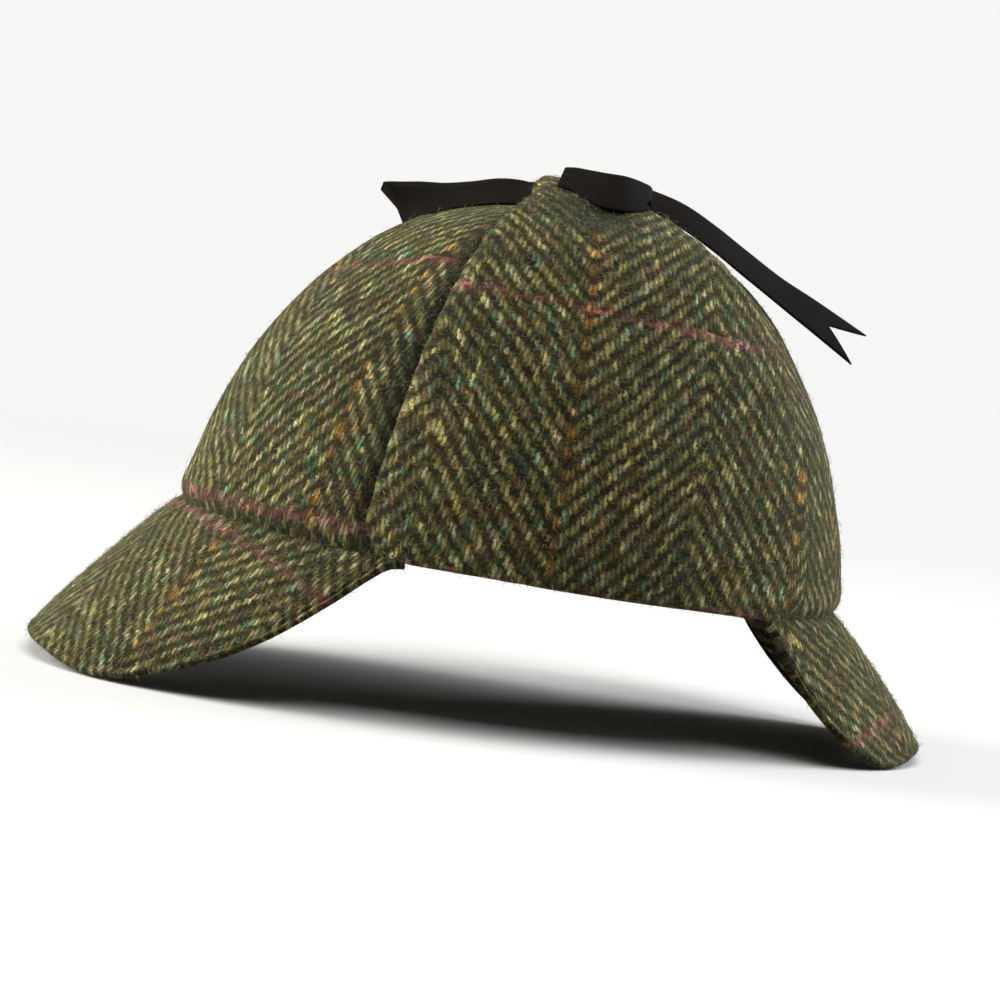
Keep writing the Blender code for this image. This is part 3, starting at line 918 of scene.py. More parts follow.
def dye_yarns(node, settings, yarns):
    """One hue a float, and then the fibres in it, with the overcheck's lines: a rust end
    on every second turn of the herringbone, and a wine pick."""
    warp_up, fibre_hue = yarns["warp_up"], yarns["fibre_hue"]
    stray = node("Math", fibre_hue, *STRAY_HUE, operation="MULTIPLY_ADD")
    hues = []
    for dice, stops in ((yarns["weft_dice"], WEFT_HUES), (yarns["warp_dice"], WARP_HUES)):
        hue = node("Math", dice[0], DEALT_HUE, stray, operation="MULTIPLY_ADD")
        hues.append(set_ramp(node("ValToRGB", hue), stops))
    colour = node("Mix", {0: warp_up, 6: hues[0], 7: hues[1]}, out=2, data_type="RGBA")

    mixed = node("MapRange", fibre_hue, 0.38, 0.6, 0.45, 1.0)
    place = node("Math", yarns["end"], 1.0, operation="ADD")
    place = node("Math", place, 2.0 * settings.stripe_ends, operation="FLOORED_MODULO")
    rust = node("Math", place, LINE_YARNS, operation="LESS_THAN")
    rust = node("Math", rust, node("MapRange", warp_up, 0.0, 1.0, 0.4, 1.0), operation="MULTIPLY")
    dealt = node("MapRange", yarns["warp_dice"][1], 0.05, 0.4, 0.3, 1.0)
    rust = node("Math", rust, dealt, operation="MULTIPLY")
    place = node("Math", yarns["pick"], float(settings.check_picks), operation="FLOORED_MODULO")
    wine_pick = node("Math", place, LINE_YARNS, operation="LESS_THAN")
    wine = node("MapRange", warp_up, 0.0, 1.0, 1.0, 0.45)
    wine = node("Math", wine_pick, wine, operation="MULTIPLY")
    for line, hue in ((rust, settings.rust), (wine, settings.wine)):
        share = node("Math", line, mixed, operation="MULTIPLY")
        colour = node("Mix", {0: share, 6: colour, 7: (*hue, 1.0)}, out=2, data_type="RGBA")
    return colour, wine_pick


def tone_yarns(node, across, along, place, yarns, wine_pick):
    """How light each spot of cloth is, in stops. Shade is painted into folds, seams and
    under the bow, and a highlight onto each warp float's crest.
    """
    weft_place = node("Math", across, 0.4, operation="MULTIPLY")
    weft_place = node("CombineXYZ", weft_place, along, LEVEL_SEED)
    level = node("TexNoise", {"Vector": weft_place, **WOOL_NOISE["weft_level"]})
    weft_up = node("Math", 1.0, yarns["warp_up"], operation="SUBTRACT")
    chance = {name: yarns[f"{name}_dice"][1] for name in ("weft", "warp")}
    causes = {
        "weft": {"chance": chance["weft"], "level": level},
        "warp": {"chance": chance["warp"], "swell_and_highlight": yarns["swell_and_highlight"], "fibres": yarns["fibre_depth"]},
        "cloth": {
            "grain": node("TexNoise", {"Vector": place, **WOOL_NOISE["grain"]}),
            "wine_weft": node("Math", wine_pick, weft_up, operation="MULTIPLY"),
            "patches": node("TexNoise", {"Vector": place, **WOOL_NOISE["patches"]}),
            # The crease attribute darkens the cloth with painted shade.
            "crease": node("Attribute", out="Fac", attribute_name=PAINTED_SHADE_ATTRIBUTE),
        },
    }
    tones = {}
    for part in ("weft", "warp", "cloth"):
        tone = STOPS[part].get("start")
        if part == "cloth":
            over = {0: yarns["warp_up"], 2: tones["weft"], 3: tones["warp"]}
            tone = node("Mix", over, data_type="FLOAT")
        for cause, value in causes[part].items():
            tone = node("Math", value, STOPS[part][cause], tone, operation="MULTIPLY_ADD")
        tones[part] = tone
    return node("Math", tones["cloth"], CONTRAST, LIGHTNESS, operation="MULTIPLY_ADD")


def make_tweed(settings):
    """Carded wool tweed in a 2/2 herringbone twill: soft, matt and hairy. The yarns
    are 1.4 mm apart one way and 1.7 mm the other, and show at their own size."""
    material, node, shader = new_surface(
        "herringbone_wool_tweed",
        Roughness=0.92,
        IOR=1.54,
        Specular_IOR_Level=0.2,
        Sheen_Weight=0.2,
        Sheen_Roughness=0.5,
        Sheen_Tint=linear("#b9c29a"),
    )
    place = node("UVMap", uv_map=CLOTH_MAP)
    across, along, _ = wander_cloth(node, place)
    yarns = shape_yarns(node, weave_twill(node, settings, across, along))
    colour, wine_pick = dye_yarns(node, settings, yarns)
    tone = tone_yarns(node, across, along, place, yarns, wine_pick)

    # A darker spot takes more of the other colours, and a lighter one less. The tone it
    # follows holds the dye's depth and the painted shade and highlight alike.
    deepening = node("Math", tone, DEEPENING_BY_TONE["per_stop"], 1.0, operation="MULTIPLY_ADD")
    deepening = node("Math", deepening, DEEPENING_BY_TONE["least"], operation="MAXIMUM")
    deepening = node("Math", deepening, DEEPENING_BY_TONE["most"], operation="MINIMUM")
    colour = node("Gamma", colour, deepening)
    light = node("Math", 2.0, tone, operation="POWER")
    colour = node("VectorMath", {0: colour, "Scale": light}, operation="SCALE")

    # Fluff lies over the yarns and blurs their borders.
    fluff_place = node("CombineXYZ", node("Math", across, 1.5, operation="MULTIPLY"), along)
    fluff = node("TexNoise", {"Vector": fluff_place, **WOOL_NOISE["fluff"]})
    fluff_tone = node("TexNoise", {"Vector": place, **WOOL_NOISE["fluff_tone"]})
    fluff_ink = set_ramp(node("ValToRGB", fluff_tone), FLUFF_TONES)
    cover = node("MapRange", fluff, *FLUFF_COVER)
    colour = node("Mix", {0: cover, 6: colour, 7: fluff_ink}, out=2, data_type="RGBA")
    # Wear and pressing leave it lighter and darker from place to place.
    wear = node("TexNoise", {"Vector": place, **WOOL_NOISE["wear"]})
    wear = node("MapRange", wear, *WEAR)
    colour = node("VectorMath", {0: colour, "Scale": wear}, operation="SCALE")
    material.node_tree.links.new(colour, shader["Base Color"])

    height = node("Math", fluff, FLUFF_RISE, yarns["height"], operation="MULTIPLY_ADD")
    height = node("Math", yarns["fibre_depth"], FIBRE_RISE, height, operation="MULTIPLY_ADD")
    bump = node("Bump", {"Strength": 1.0, "Distance": BUMP_HEIGHT, "Height": height})
    material.node_tree.links.new(bump, shader["Normal"])
    return material


def make_ribbon(settings):
    """Woven black ribbon: close, matt and faintly ribbed along its length, with a soft
    pile that catches light at its edges. Its 0.4 mm lines are drawn 1.1 mm apart."""
    material, node, shader = new_surface(
        "woven_black_ribbon",
        Roughness=0.85,
        IOR=1.5,
        Specular_IOR_Level=0.12,
        Sheen_Weight=0.03,
        Sheen_Roughness=0.35,
        Sheen_Tint=linear("#a09c84"),
    )
    place = node("UVMap", uv_map=CLOTH_MAP)
    weft = {"Vector": place, "Scale": 0.29, "Distortion": 1.2, "Detail": 2.0, "Detail Scale": 0.4}
    lines = node("TexWave", weft, out="Fac", bands_direction="X")
    warp = {"Vector": place, "Scale": 0.45, "Distortion": 0.6, "Detail": 1.0}
    ribs = node("TexWave", warp, out="Fac", bands_direction="Y")
    cloudy = node("TexNoise", {"Vector": place, "Scale": 0.08, "Detail": 3.0})
    tone = node("Math", lines, 0.3, cloudy, operation="MULTIPLY_ADD")
    share = node("MapRange", tone, 0.3, 0.95)
    dark, light = (*settings.ribbon_dark, 1.0), (*settings.ribbon_light, 1.0)
    ink = node("Mix", {0: share, 6: dark, 7: light}, out=2, data_type="RGBA")
    material.node_tree.links.new(ink, shader["Base Color"])
    both = node("Math", ribs, 0.35, lines, operation="MULTIPLY_ADD")
    bump = node("Bump", {"Strength": 0.3, "Distance": RIBBON_BUMP, "Height": both})
    material.node_tree.links.new(bump, shader["Normal"])
    return material


HAIR_COLOURS = (
    (0.00, "#3a351d"),
    (0.15, "#58562f"),
    (0.30, "#777548"),
    (0.48, "#918d66"),
    (0.64, "#8b9474"),
    (0.76, "#a8923f"),
    (0.86, "#b6b294"),
    (0.95, "#8a5a2a"),
)


def make_hair():
    """Loose wool fibres, translucent in life and drawn here as pale matt hairs, each of
    one fleece's colour. A fibre is 0.03 mm thick, and is drawn thicker to show."""
    material, node, shader = new_surface(
        "loose_wool_fibre", Roughness=0.8, IOR=1.54, Specular_IOR_Level=0.3, Sheen_Weight=0.2
    )
    tint = node("SeparateXYZ", node("UVMap", uv_map=CLOTH_MAP))
    ink = set_ramp(node("ValToRGB", tint), HAIR_COLOURS)
    material.node_tree.links.new(ink, shader["Base Color"])
    return material


def material_for(name, make, *given):
    """The named material, made the first time it is asked for."""
    found = bpy.data.materials.get(name)
    return found or make(*given)


def tweed(context):
    return material_for("herringbone_wool_tweed", make_tweed, context.scene.deerstalker_cloth)


def edge_fields(points):
    """How far each point is from the sheet's sides, from its bottom and from its top."""
    row, column = run_along(points, 1), run_along(points, 0)
    sides = np.minimum(row, row[:, [-1]] - row)
    return sides, column, column[[-1]] - column


def flap_edge_distance(points):
    """How far each point of the crown is from the nearest front or back edge of a flap."""
    edges = [
        flap_point(across, along, side, 0.0)
        for side in (1.0, -1.0)
        for across in (0.0, 1.0)
        for along in np.linspace(0.0, 0.97, 60)
    ]
    tree = KDTree(len(edges))
    for index, edge in enumerate(edges):
        tree.insert(edge, index)
    tree.balance()
    found = [tree.find(point)[2] for point in points.reshape(-1, 3)]
    return np.array(found).reshape(points.shape[:2])


def drawn_in(sides, low):
    """How far a crown panel's seams and hem pull it in, less the puffs beside them."""
    seams = SEAM_DEPTH * np.exp(-((sides / SEAM_REACH) ** SEAM_SHARPNESS))
    seams -= SEAM_PUFF * near(sides - SEAM_PUFF_AT, SEAM_PUFF_REACH)
    hem = HEM_TUCK * near(low, HEM_REACH)
    hem -= SEAM_PUFF * near(low - SEAM_PUFF_AT, HEM_PUFF_REACH)
    return seams + hem


class DEERSTALKER_OT_crown(Operator):
    """Sews the crown from four panels of tweed, with a seam drawn in between them"""

    bl_idname = "deerstalker.crown"
    bl_label = "Crown"

    def execute(self, context):
        for quarter, place in enumerate(CROWN_PLACES):
            name = f"crown_{place}"
            piece, order, points = add_cloth_grid(
                name, CROWN_COLUMNS, CROWN_ROWS, CROWN_CROWDING, crown_panel_surface(quarter)
            )
            cut = CUTS[name]
            write_cloth_map(piece, order, cut_cloth(lay_on_cloth(points, cut), cut))
            sides, low, high = edge_fields(points)
            from_flap = flap_edge_distance(points)
            # Painted shade beside the flaps' edges, along the seams and at the hem.
            dark = painted_shade("beside_flap", from_flap) + painted_shade("crown_seam", sides)
            write_painted_shade(piece, order, dark + painted_shade("crown_hem", low))
            raised = waves(points, CROWN_WAVES) - drawn_in(sides, low)
            raised -= FLAP_CREASE * near(from_flap, FLAP_CREASE_REACH)
            raised *= np.clip(high / CROWN_FADE, 0.0, 1.0)
            points = points + grid_normals(points) * raised[..., None]
            points[..., 2] -= HEM_LOWERED * np.clip(1.0 - low / HEM_LOWERED_OVER, 0.0, 1.0)
            write_points(piece, order, points)
            add_wall(piece, order, CROWN_WALL, -1.0)
            finish_piece(piece, tweed(context), [f"crown_panel_{place}"])
        return {"FINISHED"}


def flap_relief(points, sides, high):
    """How far a flap's cloth stands up or lies in, which fades out towards its tip."""
    # Stitching puckers the cloth beside the front and back edges.
    pucker = run_along(points, 0) / PUCKER_PITCH * 2.0 * math.pi + waves(points, PUCKER_WAVES)
    relief = PUCKER_HEIGHT * np.sin(pucker) * near(sides, PUCKER_REACH)
    # The edge curls down into the crease it presses in the crown.
    shares = np.linspace(0.0, 1.0, len(points))
    gaps = np.array([read_table(FLAP_STANDOFF, "up", "gap", share) for share in shares])
    curl = (gaps[:, None] + FLAP_WALL / 3.0) * near(sides, FLAP_CURL_REACH)
    fade = np.clip(high / FLAP_FADE, 0.0, 1.0)
    return (relief + waves(points, FLAP_WAVES) - curl) * fade


class DEERSTALKER_OT_ear_flaps(Operator):
    """Folds up the two ear flaps, each two layers of tweed turned in at the edge"""

    bl_idname = "deerstalker.ear_flaps"
    bl_label = "Ear Flaps"

    def execute(self, context):
        for side, place in ((1, "left"), (-1, "right")):
            name = f"ear_flap_{place}"
            piece, order, points = add_cloth_grid(
                f"flap_{place}", FLAP_COLUMNS, FLAP_ROWS, FLAP_CROWDING, flap_surface(side)
            )
            cut = CUTS[name]
            write_cloth_map(piece, order, cut_cloth(lay_on_cloth(points, cut), cut))
            sides, low, high = edge_fields(points)
            raised = flap_relief(points, sides, high)
            # Painted shade along the flap's turned edges, and the bow's painted shadow from the mounds.
            dark = painted_shade("flap_edge", sides)
            for mound in (each for each in FLAP_MOUNDS if each.side == side):
                middle = np.array((mound.x, mound.y, mound.z)) * MM
                pressed = near(np.linalg.norm(points - middle, axis=2), mound.reach * MM)
                raised = raised + mound.height * MM * pressed
                points[..., 1] -= mound.spread * MM * pressed
                dark = dark + mound.painted_shade * pressed
            write_painted_shade(piece, order, dark)
            points = points + grid_normals(points) * raised[..., None]
            write_points(piece, order, points)
            edge = np.minimum(np.minimum(sides, low), high)
            add_wall(piece, order, FLAP_WALL, 0.0, rounded_edge(edge))
            finish_piece(piece, tweed(context), [name])
        return {"FINISHED"}


def rounded_edge(edge):
    """A turned edge's share of the full thickness: round at the rim."""
    into = np.clip(1.0 - edge / EDGE_RADIUS, 0.0, 1.0)
    return EDGE_THINNEST + (1.0 - EDGE_THINNEST) * np.sqrt(1.0 - into**2)


class DEERSTALKER_OT_peaks(Operator):
    """Covers the two stiff peaks with tweed, bound at the edge"""

    bl_idname = "deerstalker.peaks"
    bl_label = "Peaks"

    def execute(self, context):
        for name, peak in (("front_peak", FRONT_PEAK), ("back_peak", BACK_PEAK)):
            piece, order, points = add_cloth_grid(
                f"{name}_cover", PEAK_COLUMNS, PEAK_ROWS, PEAK_CROWDING, peak_surface(peak)
            )
            write_points(piece, order, points)
            flat = unwrap(piece, order, points)
            write_cloth_map(piece, order, cut_cloth(flat, CUTS[name]))
            _, low, high = edge_fields(points)
            raised = waves(points, PEAK_WAVES) * np.clip(low / PEAK_FADE, 0.0, 1.0)
            raised -= PEAK_SEAM_DEPTH * near(low, PEAK_SEAM_REACH) + PEAK_WALL / 2.0
            points = points + grid_normals(points) * raised[..., None]
            stitches = high - STITCHES_FROM_EDGE
            # Painted shade at the peak's root and along its line of stitching.
            write_painted_shade(piece, order, painted_shade("peak_root", low) + painted_shade("stitches", stitches))
            write_points(piece, order, points)
            thinned = 1.0 - STITCHES_THINNED * near(stitches, STITCHES_REACH)
            add_wall(piece, order, PEAK_WALL, 0.0, rounded_edge(high) * thinned)
            finish_piece(piece, tweed(context), [name])
        return {"FINISHED"}


def unwrap(piece, order, points):
    """The sheet laid flat in mm, its middle column upright with the root at 0."""
    edit_whole(piece)
    bpy.ops.uv.unwrap(method="CONFORMAL", fill_holes=False, margin=0.0)
    bpy.ops.object.mode_set(mode="OBJECT")
    corners = read_all(piece.data.loops, "vertex_index", 1, np.int32)[:, 0]
    places = np.empty((order.size, 2))
    places[corners] = read_all(piece.data.uv_layers[CLOTH_MAP].data, "uv", 2)
    flat = places[order]
    middle = order.shape[1] // 2
    root, edge = flat[0, middle], flat[-1, middle]
    long = np.hypot(*(edge - root))
    # The way to the peak's edge is down the cloth.
    down = (edge - root) / long
    moved = (flat - root) * run_along(points, 0)[-1, middle] / MM / long
    across = moved[..., 1] * down[0] - moved[..., 0] * down[1]
    return np.stack((across, -(moved @ down)), axis=2)


def smooth_route(route):
    """Points of a smooth curve through a route's turns, with the roll and skew at each."""
    turns = [list(turn) for turn in (route[0], *route, route[-1])]
    points = []
    for four in zip(turns, turns[1:], turns[2:], turns[3:]):
        for step in range(ROUTE_STEPS):
            points.append([curve(*column, step / ROUTE_STEPS) for column in zip(*four)])
    points.append(turns[-1])
    found = np.array(points)
    return found[:, :3] * MM, np.radians(found[:, 3]), found[:, 4] * MM


def tail_far_line():
    """The middle line of the tail that lies on the right flap, from the knot down."""
    low, high = TAIL_FAR_SPAN
    points = []
    for share in np.linspace(0.0, 1.0, TAIL_FAR_POINTS):
        along = blend(high, low, share)
        gap = read_table(FLAP_STANDOFF, "up", "gap", along)
        lift = gap + FLAP_WALL + TAIL_FAR_GAP + CAD_RIBBON_WALL
        points.append(flap_point(TAIL_FAR_ACROSS, along, -1.0, lift))
    return np.array(points), np.zeros(len(points)), np.zeros(len(points))


def write_band_map(piece, order, points, width):
    """Writes a ribbon's UV map: how far each point is across it and along it, in mm."""
    across = np.linspace(-width / 2.0, width / 2.0, points.shape[1])
    across = across[None].repeat(points.shape[0], 0)
    write_cloth_map(piece, order, np.stack((across, run_along(points, 0)), axis=2) / MM)


def band_directions(centre, run, roll, side):
    """The way ahead along a ribbon's middle line, and the way across it."""
    ahead = np.gradient(centre, run, axis=0)
    ahead -= (ahead @ side)[:, None] * side
    ahead /= np.linalg.norm(ahead, axis=1, keepdims=True)
    upright = np.array([0.0, 0.0, 1.0])
    wide = side * np.cos(roll)[:, None] + upright * np.sin(roll)[:, None]
    wide -= (wide * ahead).sum(1)[:, None] * ahead
    wide /= np.linalg.norm(wide, axis=1, keepdims=True)
    return ahead, wide


def add_ribbon(name, line, flat_side, notched, creases):
    """A strip of ribbon along a line: gently cupped, creased near the knot, its tail cut
    to a swallow's."""
    centre, roll, skew = line
    run = np.concatenate(([0.0], np.cumsum(np.linalg.norm(np.diff(centre, axis=0), axis=1))))
    ahead, wide = band_directions(centre, run, roll, np.array(flat_side))

    def at(place, values):
        return np.array([np.interp(place, run, column) for column in values.T])

    def surface(across, along):
        notch = RIBBON_NOTCH * (1.0 - abs(2.0 * across - 1.0)) if notched else 0.0
        place = along * (run[-1] - notch)
        out = at(place, wide)
        point = at(place, centre) + out * RIBBON_WIDTH * (across - 0.5)
        point[1] += np.interp(place, run, skew) * (across - 0.5)
        near_knot = math.exp(-place / RIBBON_CREASED_OVER)
        fold = creases * near_knot * math.sin(across * RIBBON_CREASES * 2.0 * math.pi + 0.6)
        cup = RIBBON_CUP * (2.0 * across - 1.0) ** 2
        return point + np.cross(at(place, ahead), out) * (fold - cup)

    rows = max(RIBBON_LEAST_ROWS, round(run[-1] / RIBBON_STEP))
    piece, order, points = add_cloth_grid(name, RIBBON_COLUMNS, rows, (0.0, 0.0), surface)
    write_band_map(piece, order, points, RIBBON_WIDTH)
    write_points(piece, order, points)
    add_wall(piece, order, RIBBON_THICK, -1.0)
    return piece, run[-1]


class DEERSTALKER_OT_bow(Operator):
    """Ties the flaps with black ribbon: two loops, two tails and a knot"""

    bl_idname = "deerstalker.bow"
    bl_label = "Bow"

    def execute(self, context):
        settings = context.scene.deerstalker_bow
        finish = material_for("woven_black_ribbon", make_ribbon, settings)
        away = (-1.0, 0.0, 0.0)
        strips = {
            "loop_front": (smooth_route(LOOP_FRONT_ROUTE), away, 0.2 * MM),
            "loop_rear": (smooth_route(LOOP_REAR_ROUTE), away, 0.25 * MM),
            "tail_rear": (smooth_route(TAIL_REAR_ROUTE), away, 0.2 * MM),
            "tail_far": (tail_far_line(), (0.0, 1.0, 0.0), 0.2 * MM),
        }
        for name, (line, flat_side, creases) in strips.items():
            notched = "tail" in name
            piece, length = add_ribbon(f"bow_{name}", line, flat_side, notched, creases)
            finish_piece(piece, finish, [f"ribbon_{name}"])
        knot, length = add_knot()
        finish_piece(knot, finish, ["ribbon_knot"])
        return {"FINISHED"}


def add_knot():
    """The band round the middle of the bow: drawn in at the waist and creased."""
    centre, half = np.array(KNOT_CENTRE), np.array(KNOT_HALF)

    def surface(across, along):
        turn = 2.0 * math.pi * along
        out = np.array([math.cos(turn), 0.0, math.sin(turn)])
        waist = 1.0 - KNOT_WAIST * math.cos(math.pi * (across - 0.5)) ** 2
        wave = math.sin(across * KNOT_CREASES * 2.0 * math.pi)
        crease = KNOT_CREASE_DEPTH * wave * abs(out[2])
        ring = np.array([
            half[0] * signed_power(out[0], KNOT_SQUARENESS) * waist,
            half[1] * (1.0 - 2.0 * across),
            half[2] * signed_power(out[2], KNOT_SQUARENESS),
        ])
        return centre + ring + out * (crease - KNOT_INSET)

    piece, order, points = add_cloth_grid(
        "bow_knot", KNOT_COLUMNS, KNOT_ROWS, (0.0, 0.0), surface
    )
    length = float(run_along(points, 0)[-1].mean())
    write_band_map(piece, order, points, 2.0 * KNOT_HALF[1])
    write_points(piece, order, points)
    edit_whole(piece)
    bpy.ops.mesh.remove_doubles(threshold=WELD)
    bpy.ops.mesh.normals_make_consistent(inside=False)
    bpy.ops.object.mode_set(mode="OBJECT")
    add_wall(piece, order, RIBBON_THICK, -1.0)
    return piece, length


def outer_faces(piece):
    """Corners, normals and areas of the triangles on the outer side of a piece."""
    piece.data.calc_loop_triangles()
    corners = read_all(piece.data.loop_triangles, "vertices", 3, np.int32)
    faces = read_all(piece.data.vertices, "co", 3)[corners]
    normals = np.cross(faces[:, 1] - faces[:, 0], faces[:, 2] - faces[:, 0])
    doubled = np.linalg.norm(normals, axis=1)
    normals /= np.maximum(doubled, 1e-15)[:, None]
    outward = faces.mean(axis=1) - np.array(INSIDE_HAT)
    kept = (normals * outward).sum(1) > 0.0
    return faces[kept], normals[kept], doubled[kept] / 2.0


def scatter_roots(pieces, count, draw):
    """Places by chance on the pieces' outer faces, and the way out at each."""
    found = zip(*map(outer_faces, pieces))
    faces, normals, areas = (np.concatenate(parts) for parts in found)
    chosen = np.searchsorted(np.cumsum(areas) / areas.sum(), draw.random(count))
    a, b = draw.random((2, count, 1))
    over = a + b > 1.0
    a, b = np.where(over, 1.0 - a, a), np.where(over, 1.0 - b, b)
    first, second, third = faces[chosen].transpose(1, 0, 2)
    return first + a * (second - first) + b * (third - first), normals[chosen]


def grow_fibres(root, out, kind, draw):
    """The points of each fibre: rings round a bent spine, that narrow to a tip."""
    shape = (len(root), 1)
    aside = np.cross(out, draw.normal(size=root.shape))
    aside /= np.linalg.norm(aside, axis=1, keepdims=True)
    third = np.cross(out, aside)
    long = blend(*kind.length, draw.random(shape) ** FIBRE_SHORTNESS)
    rise = blend(*kind.rise, draw.random(shape))
    sway = kind.curl * (draw.random(shape) * 2.0 - 1.0)
    swing = draw.random(shape) * FIBRE_SWING
    thick = kind.radius * blend(*FIBRE_THICKNESS, draw.random(shape))
    points = []
    for share in np.linspace(0.0, 1.0, kind.rings + 1):
        forward = aside * long * share * np.cos(rise)
        upward = out * long * np.sin(rise) * (share - FIBRE_DROOP * share**2)
        bend = third * sway * long * np.sin(share * FIBRE_SWAY + swing) * share
        middle = root - out * FIBRE_ROOT_DEPTH + forward + upward + bend
        if share == 1.0:
            points.append(middle)
            break
        narrowed = thick * (1.0 - (1.0 - FIBRE_THINNEST) * share)
        for corner in range(FIBRE_SIDES):
            angle = 2.0 * math.pi * corner / FIBRE_SIDES
            points.append(middle + narrowed * (math.cos(angle) * third + math.sin(angle) * out))
    points = np.stack(points, axis=1)
    points[..., 2] = np.maximum(points[..., 2], LEAST_HEIGHT)
    return points


def fibre_triangles(rings):
    """The faces of one fibre: a closed root, rings of three points each, and a tip."""
    faces = [(2, 1, 0)]
    last = FIBRE_SIDES * (rings - 1)
    corners = [(low, (low + 1) % FIBRE_SIDES) for low in range(FIBRE_SIDES)]
    for start in range(0, last, FIBRE_SIDES):
        for low, after in corners:
            a, b = start + low, start + after
            faces += [(a, b, b + FIBRE_SIDES), (a, b + FIBRE_SIDES, a + FIBRE_SIDES)]
    return faces + [(last + low, last + after, last + FIBRE_SIDES) for low, after in corners]


def add_fibres(name, points, faces, tints):
    """One mesh of fibres, whose UV map holds each one's tint and how far up it a point is."""
    count, each = points.shape[:2]
    triangles = (np.array(faces) + (np.arange(count) * each)[:, None, None]).reshape(-1, 3)
    mesh = bpy.data.meshes.new(name)
    mesh.vertices.add(count * each)
    mesh.vertices.foreach_set("co", points.ravel())
    mesh.loops.add(triangles.size)
    mesh.loops.foreach_set("vertex_index", triangles.ravel())
    mesh.polygons.add(len(triangles))
    mesh.polygons.foreach_set("loop_start", np.arange(0, triangles.size, 3))
    mesh.update(calc_edges=True)
    up = np.tile(np.linspace(0.0, 1.0, each), count)
    places = np.stack((tints.repeat(each), up), axis=1)[triangles.ravel()]
    mesh.uv_layers.new(name=CLOTH_MAP).data.foreach_set("uv", places.ravel())
    mesh.validate()
    piece = bpy.data.objects.new(name, mesh)
    bpy.context.scene.collection.objects.link(piece)
    return piece


class DEERSTALKER_OT_nap(Operator):
    """Sows the short nap and the few long loose hairs of the tweed"""

    bl_idname = "deerstalker.nap"
    bl_label = "Nap"

    def execute(self, context):
        settings = context.scene.deerstalker_cloth
        finish = material_for("loose_wool_fibre", make_hair)
        counts = {"nap": settings.nap_count, "hairs": settings.hair_count}
        for place, (bed, (names, share)) in enumerate(FIBRE_BEDS.items()):
            pieces = [bpy.data.objects[name] for name in names]
            for layer, kind in FIBRE_KINDS.items():
                draw = np.random.default_rng(kind.seed + place)
                root, out = scatter_roots(pieces, round(counts[layer] * share), draw)
                points = grow_fibres(root, out, kind, draw)
                faces = fibre_triangles(kind.rings)
                fibres = add_fibres(f"{layer}_{bed}", points, faces, draw.random(len(root)))
                finish_piece(fibres, finish, ())
        return {"FINISHED"}


def add_softbox(name, place, size, power, colour):
    """A square softbox that faces the hat."""
    light = bpy.data.lights.new(name, "AREA")
    light.shape = "SQUARE"
    light.size = size
    light.energy = power
    light.color = linear(colour)[:3]
    lamp = bpy.data.objects.new(name, light)
    bpy.context.scene.collection.objects.link(lamp)
    lamp.location = place
    lamp.rotation_mode = "QUATERNION"
    lamp.rotation_quaternion = (Vector(SOFTBOX_AIM) - Vector(place)).to_track_quat("-Z", "Y")


def add_camera(settings):
    """A camera that looks at the hat from the settings' angles, rolled by a third."""
    azimuth, elevation, roll = settings.azimuth, settings.elevation, settings.roll
    back = Vector((
        math.sin(azimuth) * math.cos(elevation),
        -math.cos(azimuth) * math.cos(elevation),
        math.sin(elevation),
    ))
    level = Vector((math.cos(azimuth), math.sin(azimuth), 0.0))
    upright = back.cross(level)
    right = level * math.cos(roll) + upright * math.sin(roll)
    up = upright * math.cos(roll) - level * math.sin(roll)
    middle = Vector(HAT_MIDDLE)
    place = middle + back * settings.distance
    aim = middle + right * settings.aim_right + up * settings.aim_up
    look = (aim - place).normalized()
    side = look.cross(up).normalized()
    turn = Matrix((side, side.cross(look), -look)).transposed()
    data = bpy.data.cameras.new("camera")
    data.sensor_width = SENSOR_WIDTH
    data.lens = settings.lens / MM
    data.clip_start, data.clip_end = CAMERA_CLIP
    camera = bpy.data.objects.new("camera", data)
    bpy.context.scene.collection.objects.link(camera)
    camera.matrix_world = Matrix.Translation(place) @ turn.to_4x4()
    return camera


def make_surround(settings):
    """The surround: white to the camera, and only dim where it lights the hat."""
    world = bpy.data.worlds.new("studio")
    world.use_nodes = True
    background = world.node_tree.nodes["Background"].inputs
    background["Color"].default_value = (*settings.backdrop, 1.0)
    node = partial(add_node, world.node_tree)
    seen = node("LightPath", out="Is Camera Ray")
    strength = node("MapRange", {0: seen, 3: settings.surround, 4: BACKDROP_SEEN})
    world.node_tree.links.new(strength, background["Strength"])
    return world


class DEERSTALKER_OT_stage(Operator):
    """Sets the floor, the soft lights and the camera"""

    bl_idname = "deerstalker.stage"
    bl_label = "Stage"

    def execute(self, context):
        scene = context.scene
        settings = scene.deerstalker_stage
        bpy.ops.object.select_all(action="DESELECT")
        bpy.ops.mesh.primitive_circle_add(
            vertices=FLOOR_SIDES, radius=FLOOR_RADIUS, fill_type="NGON"
        )
        floor = context.object
        floor.name = floor.data.name = "floor"
        floor.data.materials.append(make_floor(settings))
        scene.camera = add_camera(settings)
        for box in SOFTBOXES:
            power = getattr(settings, f"{box['name']}_power")
            name = f"{box['name']}_softbox"
            add_softbox(name, box["place"], box["size"], power, box["colour"])
        scene.world = make_surround(settings)
        scene.view_settings.view_transform = "Standard"
        return {"FINISHED"}


